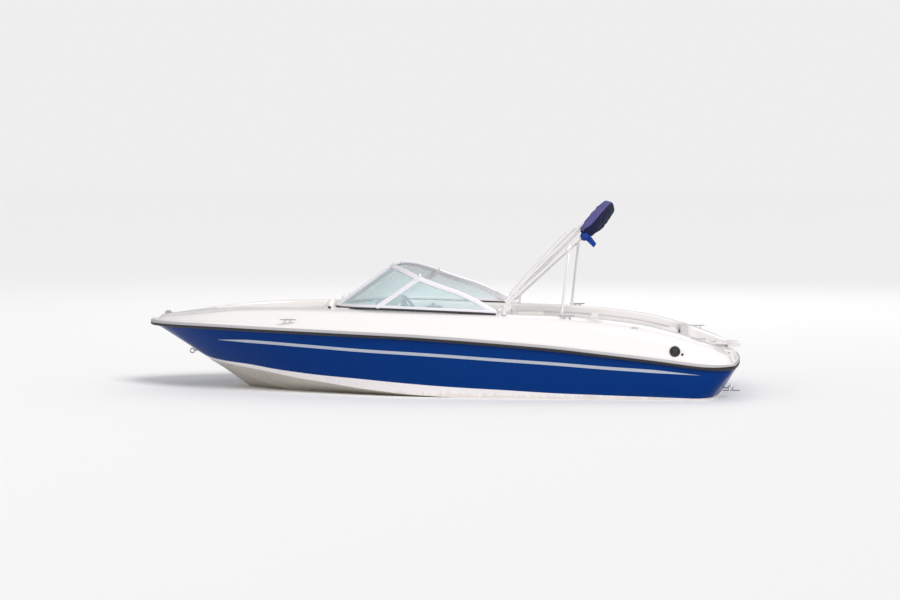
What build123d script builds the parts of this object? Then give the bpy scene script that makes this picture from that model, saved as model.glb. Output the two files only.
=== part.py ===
from build123d import *
import math
import os

os.makedirs("parts", exist_ok=True)

# Frame: X towards the bow, Y towards port, Z up from the waterline, in millimetres.

# Hull sections: station, half breadth and height at the sheer, outer and inner chine, keel height.
HULL_SECTIONS = [
    # x, sheer_y, sheer_z, chine_y, chine_z, inner_y, inner_z, keel_z
    (-2800, 972, 275, 915, -62, 825, -85, -386),
    (-1750, 1028, 368, 925, -42, 838, -68, -360),
    (-700, 1053, 474, 905, -15, 830, -45, -330),
    (350, 1024, 539, 838, 36, 772, 10, -302),
    (1200, 893, 567, 639, 136, 596, 114, -220),
    (1750, 734, 578, 410, 214, 385, 198, 0),
    (2150, 558, 585, 150, 350, 138, 342, 272),
    (2420, 381, 588, 62, 466, 56, 461, 438),
    (2580, 216, 588, 30, 546, 27, 544, 535),
    (2645, 98, 588, 14, 576, 12, 575, 572),
]

# Deck sections on the same stations: knuckle above the sheer, crest of the side deck, centre height.
DECK_SECTIONS = [
    # x, sheer_y, sheer_z, knuckle_y, knuckle_z, round_y, round_z, crest_y, crest_z, middle_z
    (-2800, 972, 275, 950, 300, 925, 318, 860, 330, 336),
    (-2250, 1006, 302, 975, 430, 945, 490, 850, 525, 535),
    (-1750, 1028, 368, 985, 540, 955, 600, 850, 645, 655),
    (-700, 1053, 474, 1005, 625, 970, 690, 860, 720, 730),
    (350, 1024, 539, 975, 665, 940, 720, 820, 744, 758),
    (1200, 893, 567, 840, 680, 800, 735, 680, 757, 775),
    (1750, 734, 578, 680, 675, 645, 720, 540, 743, 765),
    (2150, 558, 585, 510, 655, 475, 683, 390, 694, 712),
    (2420, 381, 588, 335, 632, 305, 652, 240, 666, 676),
    (2580, 216, 588, 180, 616, 160, 632, 120, 642, 648),
    (2645, 98, 588, 76, 606, 64, 615, 45, 621, 623),
]

# Stations of the lofts, closer together towards the bow.
STATIONS = [-2800, -2250, -1750, -1225, -700, -175, 350, 775, 1200, 1475]
STATIONS += [1750, 1950, 2150, 2290, 2420, 2510, 2580, 2620, 2645]

SHEER_OVERLAP = 30
# Sheer in profile, three arcs from the bow to the stern.
SHEER_PROFILE = [(2720, 589), (1800, 580), (900, 562), (-600, 483), (-2150, 318), (-2450, 289), (-2860, 286)]

# Stern sections below the sheer: height, stern at the centreline, half width, arch in plan.
STERN_SECTIONS = [(-700, -2228, 760, 120), (0, -2517, 930, 150), (270, -2665, 995, 75), (600, -2813, 1075, 75)]
STERN_X = -2665
STERN_LEVEL = 270
STERN_ARCH = 75
STERN_CORNER = 150
STERN_LEAN = 0.35

RAIL_OUT = 20
RAIL_TOP = 20
RAIL_BOTTOM = 26

SPACE_TOP = 1200
LINER_WALL = 15
FLOOR_PLAN = [(-2160, 690), (-1300, 740), (-300, 700), (300, 620), (950, 400)]
SOLE = 20
COAMING_PLAN = [(-2160, 690), (-1300, 760), (300, 730), (950, 600)]
LEDGE = 300
BAY_X = (-2160, -1400)
BAY_HALF = 360
BAY_FLOOR = -180
BOW_PLAN = [(1000, 620), (1500, 520), (1900, 340), (2080, 150)]
BOW_SEAT_LEVEL = 400
WELL_HALF = 200
WELL_X = (1000, 1620)
WELL_FLOOR = 130
WALK_HALF = 260
WALK_X = (900, 1060)
STEP_X = -2230
STEP_HALF = 640
STEP_LEVEL = 345

CONSOLE_X = (400, 945)
CONSOLE_TOP = 745
CONSOLE_WELL_TOP = 560

FRAME_WIDTH = 42
FRAME_THICK = 24
PANE_THICK = 6
WINDSHIELD_FRONT = [(944, 285, 725), (509, 800, 755), (88, 745, 1060), (240, 500, 1118), (388, 285, 1128)]
WINDSHIELD_SIDE = [(482, 800, 755), (-602, 890, 695), (-433, 850, 844), (-257, 825, 932), (-79, 795, 994)]
WINDSHIELD_SIDE += [(78, 760, 1055)]
WINDSHIELD_POST = [(515, 795, 735), (84, 752, 1058)]
POST_RADIUS = 17
DOOR = [(903, -275, 761), (903, 275, 761), (392, 275, 1128), (392, -275, 1128)]
DOOR_BORDER = 38
DOOR_THICK = 18
# The door's hinges: places up its edge, the axis aside and above the door's middle, knuckle and pin.
DOOR_HINGES = (130, 480)
DOOR_AXIS = (5, 18)
KNUCKLE_LONG = 30
KNUCKLE_RADIUS = 7
KNUCKLE_PIN = 3.5

CUSHION = 90
BOW_BACK_TOP = 825

SEAT_X = -330
SEAT_Y = 430
SEAT_WIDTH = 500
SEAT_BASE = 340
SEAT_TOP = 735

BENCH_X = (-1410, -960)
BENCH_HALF = 680
BENCH_LEVEL = 360
BENCH_BACK_TOP = 655
BENCH_BACK_THICK = 110
HATCH_X = (-2140, -1425)
HATCH_HALF = 670
HATCH_LEVEL = 430
HATCH_THICK = 30
PAD = 70
# The hatch's hinges: axis, middle of each, half length of the fixed and of the whole knuckle.
HATCH_AXIS = (-1417.5, 530)
HATCH_HINGE_Y = 419
HATCH_KNUCKLE = (18, 37)
HATCH_KNUCKLE_RADIUS = 6.5
HATCH_PIN = 3
STRAP_GAP = 8
ENGINE_X = (-2130, -1440)
ENGINE_HALF = 270
ENGINE_Z = (-170, 410)

SEAT_THICK = 130
PEDESTAL_FOOT = 130
PEDESTAL_POST = 38
PEDESTAL_PLATE = 20

PIN_RADIUS = 8
PIN_FIT = 0.05
TOP_HINGE = (-648, 885, 795)
TOP_CORNER = (-1355, 745, 1400)
TOP_MIDDLE = (-1525, 0, 1620)
BOOT_RADIUS = 72
# Tubes of the folded top: share of the leg's length where each starts, its head, its radius.
TOP_TUBES = [(0, (-1355, 745, 1400), 13), (0.14, (-1322, 748, 1428), 11), (0.16, (-1285, 752, 1455), 11)]
TOP_EYE = 20
STRUT_TOP = (-1200, 803, 1262)
STRUT_FOOT = (-1141, 875, 735)
STRUT_RADIUS = 10

# Cleats: place of the bar, and whether its legs run inboard (1) or down (0).
CLEATS = [("bow", 1260, 884, 650, 1), ("mid", -1190, 917, 712, 0), ("stern", -2310, 850, 520, 0)]
CLEAT_HALF = 75
CLEAT_LEGS = 27
FUEL_CAP = (-2110, 1012, 425)
FUEL_CAP_RADIUS = 45
FUEL_VENT = (-2174, 1008, 400)
BOW_EYE = (2285, 0, 316)
STERN_EYE = (-2590, 600, 80)
EYE_OUTER = 26
EYE_HOLE = 14
EYE_LONG = 12
LADDER_X = (-2682, -2290)
LADDER_Y = (-600, -330)
LADDER_Z = 395
LADDER_STEPS = (-2300, -2400, -2500)

HOUSING_Z = (-340, 10)
HOUSING_HALF = 165
HOUSING_THICK = 25
STEER_X = -2660
STEER_PIN = 12
HOUSING_LUGS = [(2, 24), (-352, -328)]
LUG_RADIUS = 24
RING_Z = (-320, -6)
RING_HALF = 132
RING_EAR = 144
RING_OPEN_Y = 100
RING_OPEN_Z = (-280, -30)
TILT_Z = -150
TILT_PIN = 14
LEG_X = (-3030, -2805)
LEG_TOP = 20
# Leg sections: height, front edge, rear edge, half thickness.
LEG_SECTIONS = [(-320, -2810, -3025, 60), (-600, -2825, -3005, 32)]
LEG_SECTIONS += [(-700, -2845, -2985, 26), (-830, -2900, -2960, 8)]
PROP_Z = -640
PROP_X = (-3155, -3037)
PROP_HUB = 48
# Blade sections: radius, chord, thickness, pitch against the disc in degrees.
PROP_BLADE = [(42, 70, 12, 60), (110, 130, 8, 36), (178, 62, 4, 24)]
SHAFT_RADIUS = 14
CYLINDER_FRONT = (-2675, 176, -301)
CYLINDER_REAR = (-2970, 120, -200)
ROD_RADIUS = 9
ROD_DRIFT = 6.5
ROD_EYE = 21

WHEEL_CENTRE = (302, -450, 664)
WHEEL_NORMAL = (-811, 0, 585)
WHEEL_RADIUS = 168
WHEEL_GRIP = 13
WHEEL_HUB = 45
SPOKE_REACH = 145
SPOKE_DROP = -84
COLUMN_SHAFT = 10


def along(table, column, x):
    """Value of one column of a section table at station x, on a smooth curve without overshoot."""
    xs = [row[0] for row in table]
    ys = [row[column] for row in table]
    slopes = [(ys[i + 1] - ys[i]) / (xs[i + 1] - xs[i]) for i in range(len(xs) - 1)]
    tangents = [slopes[0]]
    for i in range(1, len(slopes)):
        before, after = slopes[i - 1], slopes[i]
        if before * after <= 0:
            tangents.append(0)
        else:
            left, right = xs[i] - xs[i - 1], xs[i + 1] - xs[i]
            first, second = 2 * right + left, right + 2 * left
            tangents.append((first + second) / (first / before + second / after))
    tangents.append(slopes[-1])
    i = max(j for j in range(len(xs) - 1) if xs[j] <= x)
    step = xs[i + 1] - xs[i]
    t = (x - xs[i]) / step
    start = (1 + 2 * t) * (1 - t) ** 2 * ys[i] + t * (1 - t) ** 2 * step * tangents[i]
    end = t * t * (3 - 2 * t) * ys[i + 1] + t * t * (t - 1) * step * tangents[i + 1]
    return start + end


def section_sketch(x, points):
    """Closed section on the plane at station x, mirrored about the centreline."""
    mirrored = [(-y, z) for y, z in reversed(points) if y > 0]
    with BuildSketch(Plane.YZ.offset(x)) as sketch:
        with BuildLine():
            Polyline(*points, *mirrored, close=True)
        make_face()
    return sketch.sketch


def plan_points(half_outline):
    """Full plan outline from the starboard side's mirror of a half outline."""
    return half_outline + [(x, -y) for x, y in reversed(half_outline)]


def sheer_side(above):
    """Block above or below the sheer profile, across the whole beam."""
    far_z = 1500 if above else -900
    bow, stern = SHEER_PROFILE[0], SHEER_PROFILE[-1]
    with BuildPart() as block:
        with BuildSketch(Plane.XZ.offset(1400)):
            with BuildLine():
                ThreePointArc(*SHEER_PROFILE[0:3])
                ThreePointArc(*SHEER_PROFILE[2:5])
                ThreePointArc(*SHEER_PROFILE[4:7])
                Polyline(stern, (stern[0], far_z), (bow[0], far_z), bow)
            make_face()
        extrude(amount=-2800)
    return block.part


def stern_outline(z, x_middle, half_width, arch=STERN_ARCH):
    """Plan outline of the boat's stern end at one height, arched and with round corners."""
    side_x = x_middle + arch
    with BuildSketch(Plane.XY.offset(z)) as sketch:
        with BuildLine():
            ThreePointArc((side_x, -half_width), (x_middle, 0), (side_x, half_width))
            far_y = half_width + 220
            Polyline((side_x, half_width), (3000, far_y), (3000, -far_y), (side_x, -half_width))
        make_face()
        corners = sketch.vertices().group_by(Axis.X)[0]
        fillet(corners, radius=STERN_CORNER)
    return sketch.sketch


def stern_x(z):
    """Stern surface on the centreline at height z, below the sheer."""
    for low, high in zip(STERN_SECTIONS, STERN_SECTIONS[1:]):
        if z <= high[0]:
            return low[1] + (high[1] - low[1]) * (z - low[0]) / (high[0] - low[0])


def prism(outline, low, high):
    """Upright block over a plan outline between two heights."""
    with BuildPart() as block:
        with BuildSketch(Plane.XY.offset(low)):
            with BuildLine():
                Polyline(*outline, close=True)
            make_face()
        extrude(amount=high - low)
    return block.part


def block(x, y, z):
    """Box between two values on each axis."""
    with BuildPart() as box:
        with Locations(((x[0] + x[1]) / 2, (y[0] + y[1]) / 2, (z[0] + z[1]) / 2)):
            Box(x[1] - x[0], y[1] - y[0], z[1] - z[0])
    return box.part


def soft_block(x, y, z, radius):
    """Box between two values on each axis with all its edges rounded."""
    with BuildPart() as box:
        with Locations(((x[0] + x[1]) / 2, (y[0] + y[1]) / 2, (z[0] + z[1]) / 2)):
            Box(x[1] - x[0], y[1] - y[0], z[1] - z[0])
        fillet(box.edges(), radius=radius)
    return box.part


def eye(place, shank_start, shank_end):
    """Flat round eye across the boat, its hole not yet cut, with a shank along X."""
    with BuildPart() as plate:
        with Locations(Location(place, (90, 0, 0))):
            Cylinder(EYE_OUTER, EYE_LONG)
        fillet(plate.edges().filter_by(GeomType.CIRCLE), radius=4)
        shank_x = (place[0] + shank_start, place[0] + shank_end)
        add(block(shank_x, (place[1] - 6, place[1] + 6), (place[2] - 9, place[2] + 9)))
        with Locations(Location(place, (90, 0, 0))):
            Cylinder(EYE_HOLE, 4 * EYE_LONG, mode=Mode.SUBTRACT)
    return plate.part


def crosswise(place, reach_in, reach_out, radius):
    """Round bar along Y through a place, reaching so far inboard and outboard."""
    x, y, z = place
    return rod((x, y - reach_in, z), (x, y + reach_out, z), radius)


def rod(start, end, radius):
    """Round bar between two points."""
    run = Vector(*end) - Vector(*start)
    with BuildPart() as bar:
        with BuildSketch(Plane(origin=start, z_dir=run)):
            Circle(radius)
        extrude(amount=run.length)
    return bar.part


def both_sides(shape):
    """A shape and its mirror image across the centreline."""
    with BuildPart() as pair:
        add(shape)
        mirror(about=Plane.XZ)
    return pair.part


def starboard(shape):
    """Mirror image of a port shape."""
    with BuildPart() as other:
        mirror(shape, about=Plane.XZ)
    return other.part


def save(part, name):
    """Label a piece and write its file."""
    part.label = name
    export_step(part, f"parts/{name}.step")


def pocket(grow):
    """All open spaces of the boat's inside, made larger by a wall thickness."""
    top = SPACE_TOP
    with BuildPart() as space:
        for half_outline, floor in [(FLOOR_PLAN, SOLE), (COAMING_PLAN, LEDGE), (BOW_PLAN, BOW_SEAT_LEVEL)]:
            with BuildSketch(Plane.XY.offset(floor - grow)):
                with BuildLine():
                    Polyline(*plan_points(half_outline), close=True)
                make_face()
                if grow:
                    offset(amount=grow, kind=Kind.INTERSECTION)
            extrude(amount=top - floor + grow)
        boxes = [(BAY_X, BAY_HALF, BAY_FLOOR, SOLE + 1), (WELL_X, WELL_HALF, WELL_FLOOR, top)]
        boxes += [(WALK_X, WALK_HALF, SOLE, top)]
        for (aft, fore), half, floor, ceiling in boxes:
            add(block((aft - grow, fore + grow), (-half - grow, half + grow), (floor - grow, ceiling)))
    return space.part


def cut(shape, *tools):
    """A shape with other shapes taken away."""
    with BuildPart() as rest:
        add(shape)
        for tool in tools:
            add(tool, mode=Mode.SUBTRACT)
    return rest.part


def common(shape, *tools):
    """What a shape shares with other shapes."""
    with BuildPart() as rest:
        add(shape)
        for tool in tools:
            add(tool, mode=Mode.INTERSECT)
    return rest.part


def joined(*shapes):
    """Several shapes as one."""
    with BuildPart() as whole:
        for shape in shapes:
            add(shape)
    return whole.part


def panel(corners, border, thickness, as_frame):
    """Flat framed panel through its first three corners: the frame or the pane inside it."""
    first, second, third = (Vector(*corners[i]) for i in (0, 1, -1))
    plane = Plane(origin=first, x_dir=second - first, z_dir=(second - first).cross(third - first))
    local = [plane.to_local_coords(Vector(*corner)) for corner in corners]
    outline = [(point.X, point.Y) for point in local]
    with BuildPart() as sheet:
        with BuildSketch(plane):
            with BuildLine():
                Polyline(*outline, close=True)
            make_face()
            if as_frame:
                offset(amount=-border, kind=Kind.INTERSECTION, mode=Mode.SUBTRACT)
            else:
                offset(amount=-border, kind=Kind.INTERSECTION, mode=Mode.REPLACE)
        extrude(amount=thickness / 2, both=True)
    return sheet.part


with BuildPart() as hull_shape:
    for x in STATIONS:
        row = [along(HULL_SECTIONS, c, x) for c in range(1, 8)]
        sheer_y, sheer_z, chine_y, chine_z, inner_y, inner_z, keel_z = row
        flare = (sheer_y - chine_y) / (sheer_z - chine_z)
        top_y = sheer_y + flare * SHEER_OVERLAP
        top_z = sheer_z + SHEER_OVERLAP
        add(section_sketch(x, [(0, keel_z), (inner_y, inner_z), (chine_y, chine_z), (top_y, top_z)]))
    loft(ruled=True)
    add(sheer_side(False), mode=Mode.INTERSECT)

with BuildPart() as stern_low:
    for z, x_middle, half_width, arch in STERN_SECTIONS:
        add(stern_outline(z, x_middle, half_width, arch))
    loft(ruled=True)

with BuildPart() as hull_body:
    add(hull_shape.part)
    add(stern_low.part, mode=Mode.INTERSECT)

with BuildPart() as deck_shape:
    for x in STATIONS:
        row = [along(DECK_SECTIONS, c, x) for c in range(1, 10)]
        sheer_y, sheer_z, knuckle_y, knuckle_z, round_y, round_z, crest_y, crest_z, middle_z = row
        low = sheer_z - SHEER_OVERLAP
        points = [(0, low), (sheer_y, low), (sheer_y, sheer_z), (knuckle_y, knuckle_z)]
        points += [(round_y, round_z), (crest_y, crest_z), (0, middle_z)]
        add(section_sketch(x, points))
    loft(ruled=True)
    add(sheer_side(True), mode=Mode.INTERSECT)

space = pocket(0)
space_and_wall = pocket(LINER_WALL)

with BuildPart() as stern_high:
    for z, half_width in [(150, 1010), (800, 1040)]:
        add(stern_outline(z, STERN_X + STERN_LEAN * (z - STERN_LEVEL), half_width))
    loft(ruled=True)

with BuildPart() as deck_body:
    add(deck_shape.part)
    add(stern_high.part, mode=Mode.INTERSECT)
    add(block((-2900, STEP_X), (-STEP_HALF, STEP_HALF), (STEP_LEVEL, 900)), mode=Mode.SUBTRACT)

with BuildPart() as hull_and_deck:
    add(hull_body.part)
    add(deck_body.part)

with BuildPart() as liner:
    add(space_and_wall)
    add(space, mode=Mode.SUBTRACT)
    add(hull_and_deck.part, mode=Mode.INTERSECT)

with BuildPart() as hull:
    add(hull_body.part)
    add(space_and_wall, mode=Mode.SUBTRACT)

with BuildPart() as deck:
    add(deck_body.part)
    add(space_and_wall, mode=Mode.SUBTRACT)

save(hull.part, "hull")
save(deck.part, "deck")
save(liner.part, "cockpit_liner")

# Rub rail: a band that follows the sheer and the stern all round.
rail_edge = [(x, along(HULL_SECTIONS, 1, x)) for x in STATIONS]


def sheer_profile(rise):
    """Edges of the sheer profile from bow to stern, moved up or down."""
    moved = [(x, z + rise) for x, z in SHEER_PROFILE]
    return [ThreePointArc(*moved[0:3]), ThreePointArc(*moved[2:5]), ThreePointArc(*moved[4:7])]


with BuildPart() as rail_band:
    with BuildSketch(Plane.XY.offset(150)):
        with BuildLine():
            Polyline(*plan_points(rail_edge), close=True)
        make_face()
        add(stern_outline(0, STERN_X, 998), mode=Mode.INTERSECT)
        offset(amount=RAIL_OUT, kind=Kind.ARC)
    extrude(amount=600)

with BuildPart() as rail_level:
    with BuildSketch(Plane.XZ.offset(1400)):
        with BuildLine():
            sheer_profile(RAIL_TOP)
            sheer_profile(-RAIL_BOTTOM)
            for x, z in (SHEER_PROFILE[0], SHEER_PROFILE[-1]):
                Line((x, z + RAIL_TOP), (x, z - RAIL_BOTTOM))
        make_face()
    extrude(amount=-2800)

with BuildPart() as rub_rail:
    add(rail_band.part)
    add(rail_level.part, mode=Mode.INTERSECT)
    add(hull_body.part, mode=Mode.SUBTRACT)
    add(deck_body.part, mode=Mode.SUBTRACT)
save(rub_rail.part, "rub_rail")

# Consoles under the windshield, with open foot wells.
console_block = common(block(CONSOLE_X, (WALK_HALF, 800), (SOLE, CONSOLE_TOP)), space)
console_well = block((CONSOLE_X[0] - 10, CONSOLE_X[1] - 60), (WALK_HALF + 40, 700), (SOLE, CONSOLE_WELL_TOP))
port_console = cut(console_block, console_well)
save(port_console, "console_port")
starboard_console = starboard(port_console)
save(starboard_console, "console_starboard")

# Windshield: framed panels that stand on the deck and on the consoles.
carriers = [deck.part, port_console, starboard_console, hull.part, liner.part]
front_frame = cut(panel(WINDSHIELD_FRONT, FRAME_WIDTH, FRAME_THICK, True), *carriers)
side_frame = cut(panel(WINDSHIELD_SIDE, FRAME_WIDTH, FRAME_THICK, True), *carriers, front_frame)
front_pane = cut(panel(WINDSHIELD_FRONT, FRAME_WIDTH, PANE_THICK, False), *carriers, side_frame)
side_pane = cut(panel(WINDSHIELD_SIDE, FRAME_WIDTH, PANE_THICK, False), *carriers, front_frame)
corner_post = cut(rod(*WINDSHIELD_POST, POST_RADIUS), *carriers)
front_pane = cut(front_pane, corner_post)
side_pane = cut(side_pane, corner_post)
port_frame = joined(front_frame, side_frame, corner_post).solids().sort_by(SortBy.VOLUME)[-1]
for name, shape in [("front_glass", front_pane), ("side_glass", side_pane)]:
    save(shape, f"{name}_port")
    save(starboard(shape), f"{name}_starboard")

# The windshield's door turns about knuckles on its outer face, on the starboard side.
door_edge = Vector(*DOOR[3]) - Vector(*DOOR[0])
hinge_plane = Plane(origin=DOOR[0], x_dir=door_edge, z_dir=(door_edge.Z, 0, -door_edge.X))
axis_y, axis_z = DOOR_AXIS


def on_door(x, y, z):
    """Box given along the door's edge, towards the frame and out of its face."""
    return hinge_plane.location * block(x, y, z)


def on_axis(low, high, radius):
    """Round bar on the door's hinge axis."""
    ends = [hinge_plane.from_local_coords(Vector(place, axis_y, axis_z)) for place in (low, high)]
    return rod(*ends, radius)


frame_knuckles = []
door_knuckles = []
door_bores = []
for place in DOOR_HINGES:
    frame_knuckles.append(on_axis(place - KNUCKLE_LONG, place, KNUCKLE_RADIUS))
    frame_knuckles.append(on_axis(place - KNUCKLE_LONG, place + KNUCKLE_LONG, KNUCKLE_PIN))
    frame_knuckles.append(on_door((place - KNUCKLE_LONG, place), (axis_y + 3, axis_y + 29), (-4, axis_z - 2)))
    door_knuckles.append(on_axis(place + 1, place + KNUCKLE_LONG, KNUCKLE_RADIUS))
    leaf_z = (DOOR_THICK / 2 - 1, axis_z - 3)
    door_knuckles.append(on_door((place + 1, place + KNUCKLE_LONG), (-30, axis_y - 3), leaf_z))
    door_bores.append(on_axis(place - 1, place + KNUCKLE_LONG + 2, KNUCKLE_PIN + PIN_FIT))
save(port_frame, "windshield_frame_port")
save(joined(starboard(port_frame), *frame_knuckles), "windshield_frame_starboard")
door_frame = cut(joined(panel(DOOR, DOOR_BORDER, DOOR_THICK, True), *door_knuckles), *door_bores, *carriers)
save(door_frame, "windshield_door")
save(panel(DOOR, DOOR_BORDER, PANE_THICK, False), "door_glass")

# Bow seats: cushions on the bow ledge and backrests against the consoles' fronts.
bow_space = prism(plan_points(BOW_PLAN), BOW_SEAT_LEVEL, BOW_SEAT_LEVEL + CUSHION)
side_strip = block((1040, 1640), (WELL_HALF + 6, 700), (BOW_SEAT_LEVEL, BOW_SEAT_LEVEL + CUSHION))
bow_cushion = common(side_strip, bow_space)
save(bow_cushion, "bow_cushion_port")
save(starboard(bow_cushion), "bow_cushion_starboard")
bow_nose = common(block((1646, 2090), (-700, 700), (BOW_SEAT_LEVEL, BOW_SEAT_LEVEL + CUSHION)), bow_space)
save(bow_nose, "bow_cushion_front")
bow_back = soft_block((1002, 1090), (WALK_HALF + 20, 560), (BOW_SEAT_LEVEL + CUSHION, BOW_BACK_TOP), 30)
save(both_sides(bow_back), "bow_backrests")

# Seats on pedestals.
for name, side in [("helm_seat", -1), ("passenger_seat", 1)]:
    y = side * SEAT_Y
    half = SEAT_WIDTH / 2
    pedestal = joined(
        rod((SEAT_X, y, SOLE), (SEAT_X, y, SOLE + PEDESTAL_PLATE), PEDESTAL_FOOT),
        rod((SEAT_X, y, SOLE + PEDESTAL_PLATE), (SEAT_X, y, SEAT_BASE), PEDESTAL_POST),
    )
    save(pedestal, f"{name}_pedestal")
    seat_y = (y - half, y + half)
    cushion = soft_block((SEAT_X - 240, SEAT_X + 250), seat_y, (SEAT_BASE, SEAT_BASE + SEAT_THICK), 35)
    back = soft_block((SEAT_X - 330, SEAT_X - 200), seat_y, (SEAT_BASE + 20, SEAT_TOP), 40)
    save(joined(cushion, back), name)

# Aft bench, engine box sides, engine, hatch and sun pad. The hatch turns about knuckles behind the bench.
hinge_x, hinge_z = HATCH_AXIS
hinge_whole = (HATCH_HINGE_Y - HATCH_KNUCKLE[1], HATCH_HINGE_Y + HATCH_KNUCKLE[1])
hinge_fixed = (HATCH_HINGE_Y - HATCH_KNUCKLE[0], HATCH_HINGE_Y + HATCH_KNUCKLE[0])
strap_top = hinge_z + 3


def on_hatch_axis(y, radius):
    """Round bar on the hatch's hinge axis between two values of Y."""
    return rod((hinge_x, y[0], hinge_z), (hinge_x, y[1], hinge_z), radius)


fixed_hinge = joined(
    on_hatch_axis(hinge_fixed, HATCH_KNUCKLE_RADIUS),
    on_hatch_axis(hinge_whole, HATCH_PIN),
    block((BENCH_X[0] - 3, BENCH_X[0] + 4), hinge_fixed, (BENCH_LEVEL - 60, strap_top)),
)
bench_base = block(BENCH_X, (-BENCH_HALF, BENCH_HALF), (SOLE, BENCH_LEVEL))
save(bench_base, "aft_bench_base")
save(both_sides(cut(fixed_hinge, bench_base)), "hatch_hinges")
bench_y = (-BENCH_HALF, BENCH_HALF)
cushion_x = (BENCH_X[0] + STRAP_GAP, BENCH_X[1])
back_x = (BENCH_X[0] + STRAP_GAP, BENCH_X[0] + BENCH_BACK_THICK)
save(soft_block(cushion_x, bench_y, (BENCH_LEVEL, BENCH_LEVEL + CUSHION), 30), "aft_bench_cushion")
save(soft_block(back_x, bench_y, (BENCH_LEVEL + CUSHION, BENCH_BACK_TOP), 30), "aft_bench_back")
box_side = block(HATCH_X, (BAY_HALF + 30, HATCH_HALF), (SOLE, HATCH_LEVEL))
save(both_sides(box_side), "engine_box")
save(block(ENGINE_X, (-ENGINE_HALF, ENGINE_HALF), ENGINE_Z), "engine")
hatch_top = HATCH_LEVEL + HATCH_THICK
hatch_y = (-HATCH_HALF, HATCH_HALF)
straps = []
for y in [(hinge_whole[0], hinge_fixed[0] - 1), (hinge_fixed[1] + 1, hinge_whole[1])]:
    straps.append(block((HATCH_X[1] - 6, HATCH_X[1] - 1), y, (hatch_top - 5, strap_top)))
    straps.append(block((HATCH_X[1] - 6, hinge_x), y, (hinge_z - 4, strap_top)))
    straps.append(on_hatch_axis(y, HATCH_KNUCKLE_RADIUS))
moving_hinge = cut(joined(*straps), on_hatch_axis((0, HATCH_HALF), HATCH_PIN + PIN_FIT))
hatch = block(HATCH_X, hatch_y, (HATCH_LEVEL, hatch_top))
save(joined(hatch, both_sides(moving_hinge)), "engine_hatch")
pad_x = (HATCH_X[0], HATCH_X[1] - STRAP_GAP)
save(soft_block(pad_x, hatch_y, (hatch_top, hatch_top + PAD), 25), "sun_pad")

# Steering wheel and throttle.
wheel_plane = Plane(origin=WHEEL_CENTRE, x_dir=(0, 1, 0), z_dir=WHEEL_NORMAL)
wheel_axis = Vector(*WHEEL_NORMAL).normalized()
with BuildPart() as wheel:
    with Locations(wheel_plane):
        Torus(WHEEL_RADIUS, WHEEL_GRIP)
        Cylinder(WHEEL_HUB, 40)
    for end in [(0, WHEEL_RADIUS), (SPOKE_REACH, SPOKE_DROP), (-SPOKE_REACH, SPOKE_DROP)]:
        add(rod(WHEEL_CENTRE, wheel_plane.from_local_coords(Vector(*end)), 11))
wheel_middle = Vector(*WHEEL_CENTRE)
shaft_bore = rod(wheel_middle - wheel_axis * 40, wheel_middle - wheel_axis * 9, COLUMN_SHAFT + PIN_FIT)
save(cut(wheel.part, shaft_bore), "steering_wheel")
column = joined(
    rod(wheel_middle - wheel_axis * 26, wheel_middle - wheel_axis * 220, 30),
    rod(wheel_middle - wheel_axis * 10, wheel_middle - wheel_axis * 60, COLUMN_SHAFT),
)
save(cut(column, starboard_console), "steering_column")
throttle_box = block((60, 220), (-745, -690), (560, 700))
throttle = joined(throttle_box, rod((140, -700, 640), (150, -680, 700), 12))
save(cut(throttle, *carriers), "throttle")

# Folded sun top: three tubes a side up to the covered bows, hinged on the deck, and two struts.
boot_ends = [(TOP_CORNER[0], side * TOP_CORNER[1], TOP_CORNER[2]) for side in (1, -1)]
with BuildPart() as boot:
    with BuildLine() as boot_line:
        ThreePointArc(boot_ends[0], TOP_MIDDLE, boot_ends[1])
    with BuildSketch(Plane(origin=boot_line.line @ 0, z_dir=boot_line.line % 0)):
        Circle(BOOT_RADIUS)
    sweep()
save(boot.part, "bimini_boot")
tubes = []
for foot_share, head, radius in TOP_TUBES:
    foot = Vector(*TOP_HINGE) + (Vector(*TOP_CORNER) - Vector(*TOP_HINGE)) * foot_share
    tubes.append(rod(foot, head, radius))
tubes.append(crosswise(STRUT_TOP, 40, 12, PIN_RADIUS))
tubes.append(crosswise(TOP_HINGE, 8, 8, TOP_EYE))
port_tubes = cut(joined(*tubes), crosswise(TOP_HINGE, 60, 60, PIN_RADIUS + PIN_FIT), boot.part)
save(both_sides(port_tubes), "bimini_frame")

top_x, top_y, top_z = TOP_HINGE
foot_x, foot_y, foot_z = STRUT_FOOT
fittings = joined(
    block((top_x - 12, top_x + 12), (top_y - 34, top_y - 26), (640, top_z + 14)),
    block((top_x - 12, top_x + 12), (top_y + 18, top_y + 26), (640, top_z + 14)),
    block((top_x - 22, top_x + 22), (top_y - 34, top_y + 28), (640, top_z - 38)),
    crosswise(TOP_HINGE, 30, 24, PIN_RADIUS),
    block((foot_x - 26, foot_x + 26), (foot_y - 20, foot_y + 20), (600, foot_z - 24)),
)
save(both_sides(cut(fittings, deck.part)), "bimini_deck_fittings")
strut = joined(rod(STRUT_FOOT, STRUT_TOP, STRUT_RADIUS), crosswise(STRUT_TOP, 9, 9, 15))
strut = cut(strut, crosswise(STRUT_TOP, 20, 20, PIN_RADIUS + PIN_FIT))
save(strut, "bimini_strut_port")
save(starboard(strut), "bimini_strut_starboard")

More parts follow.
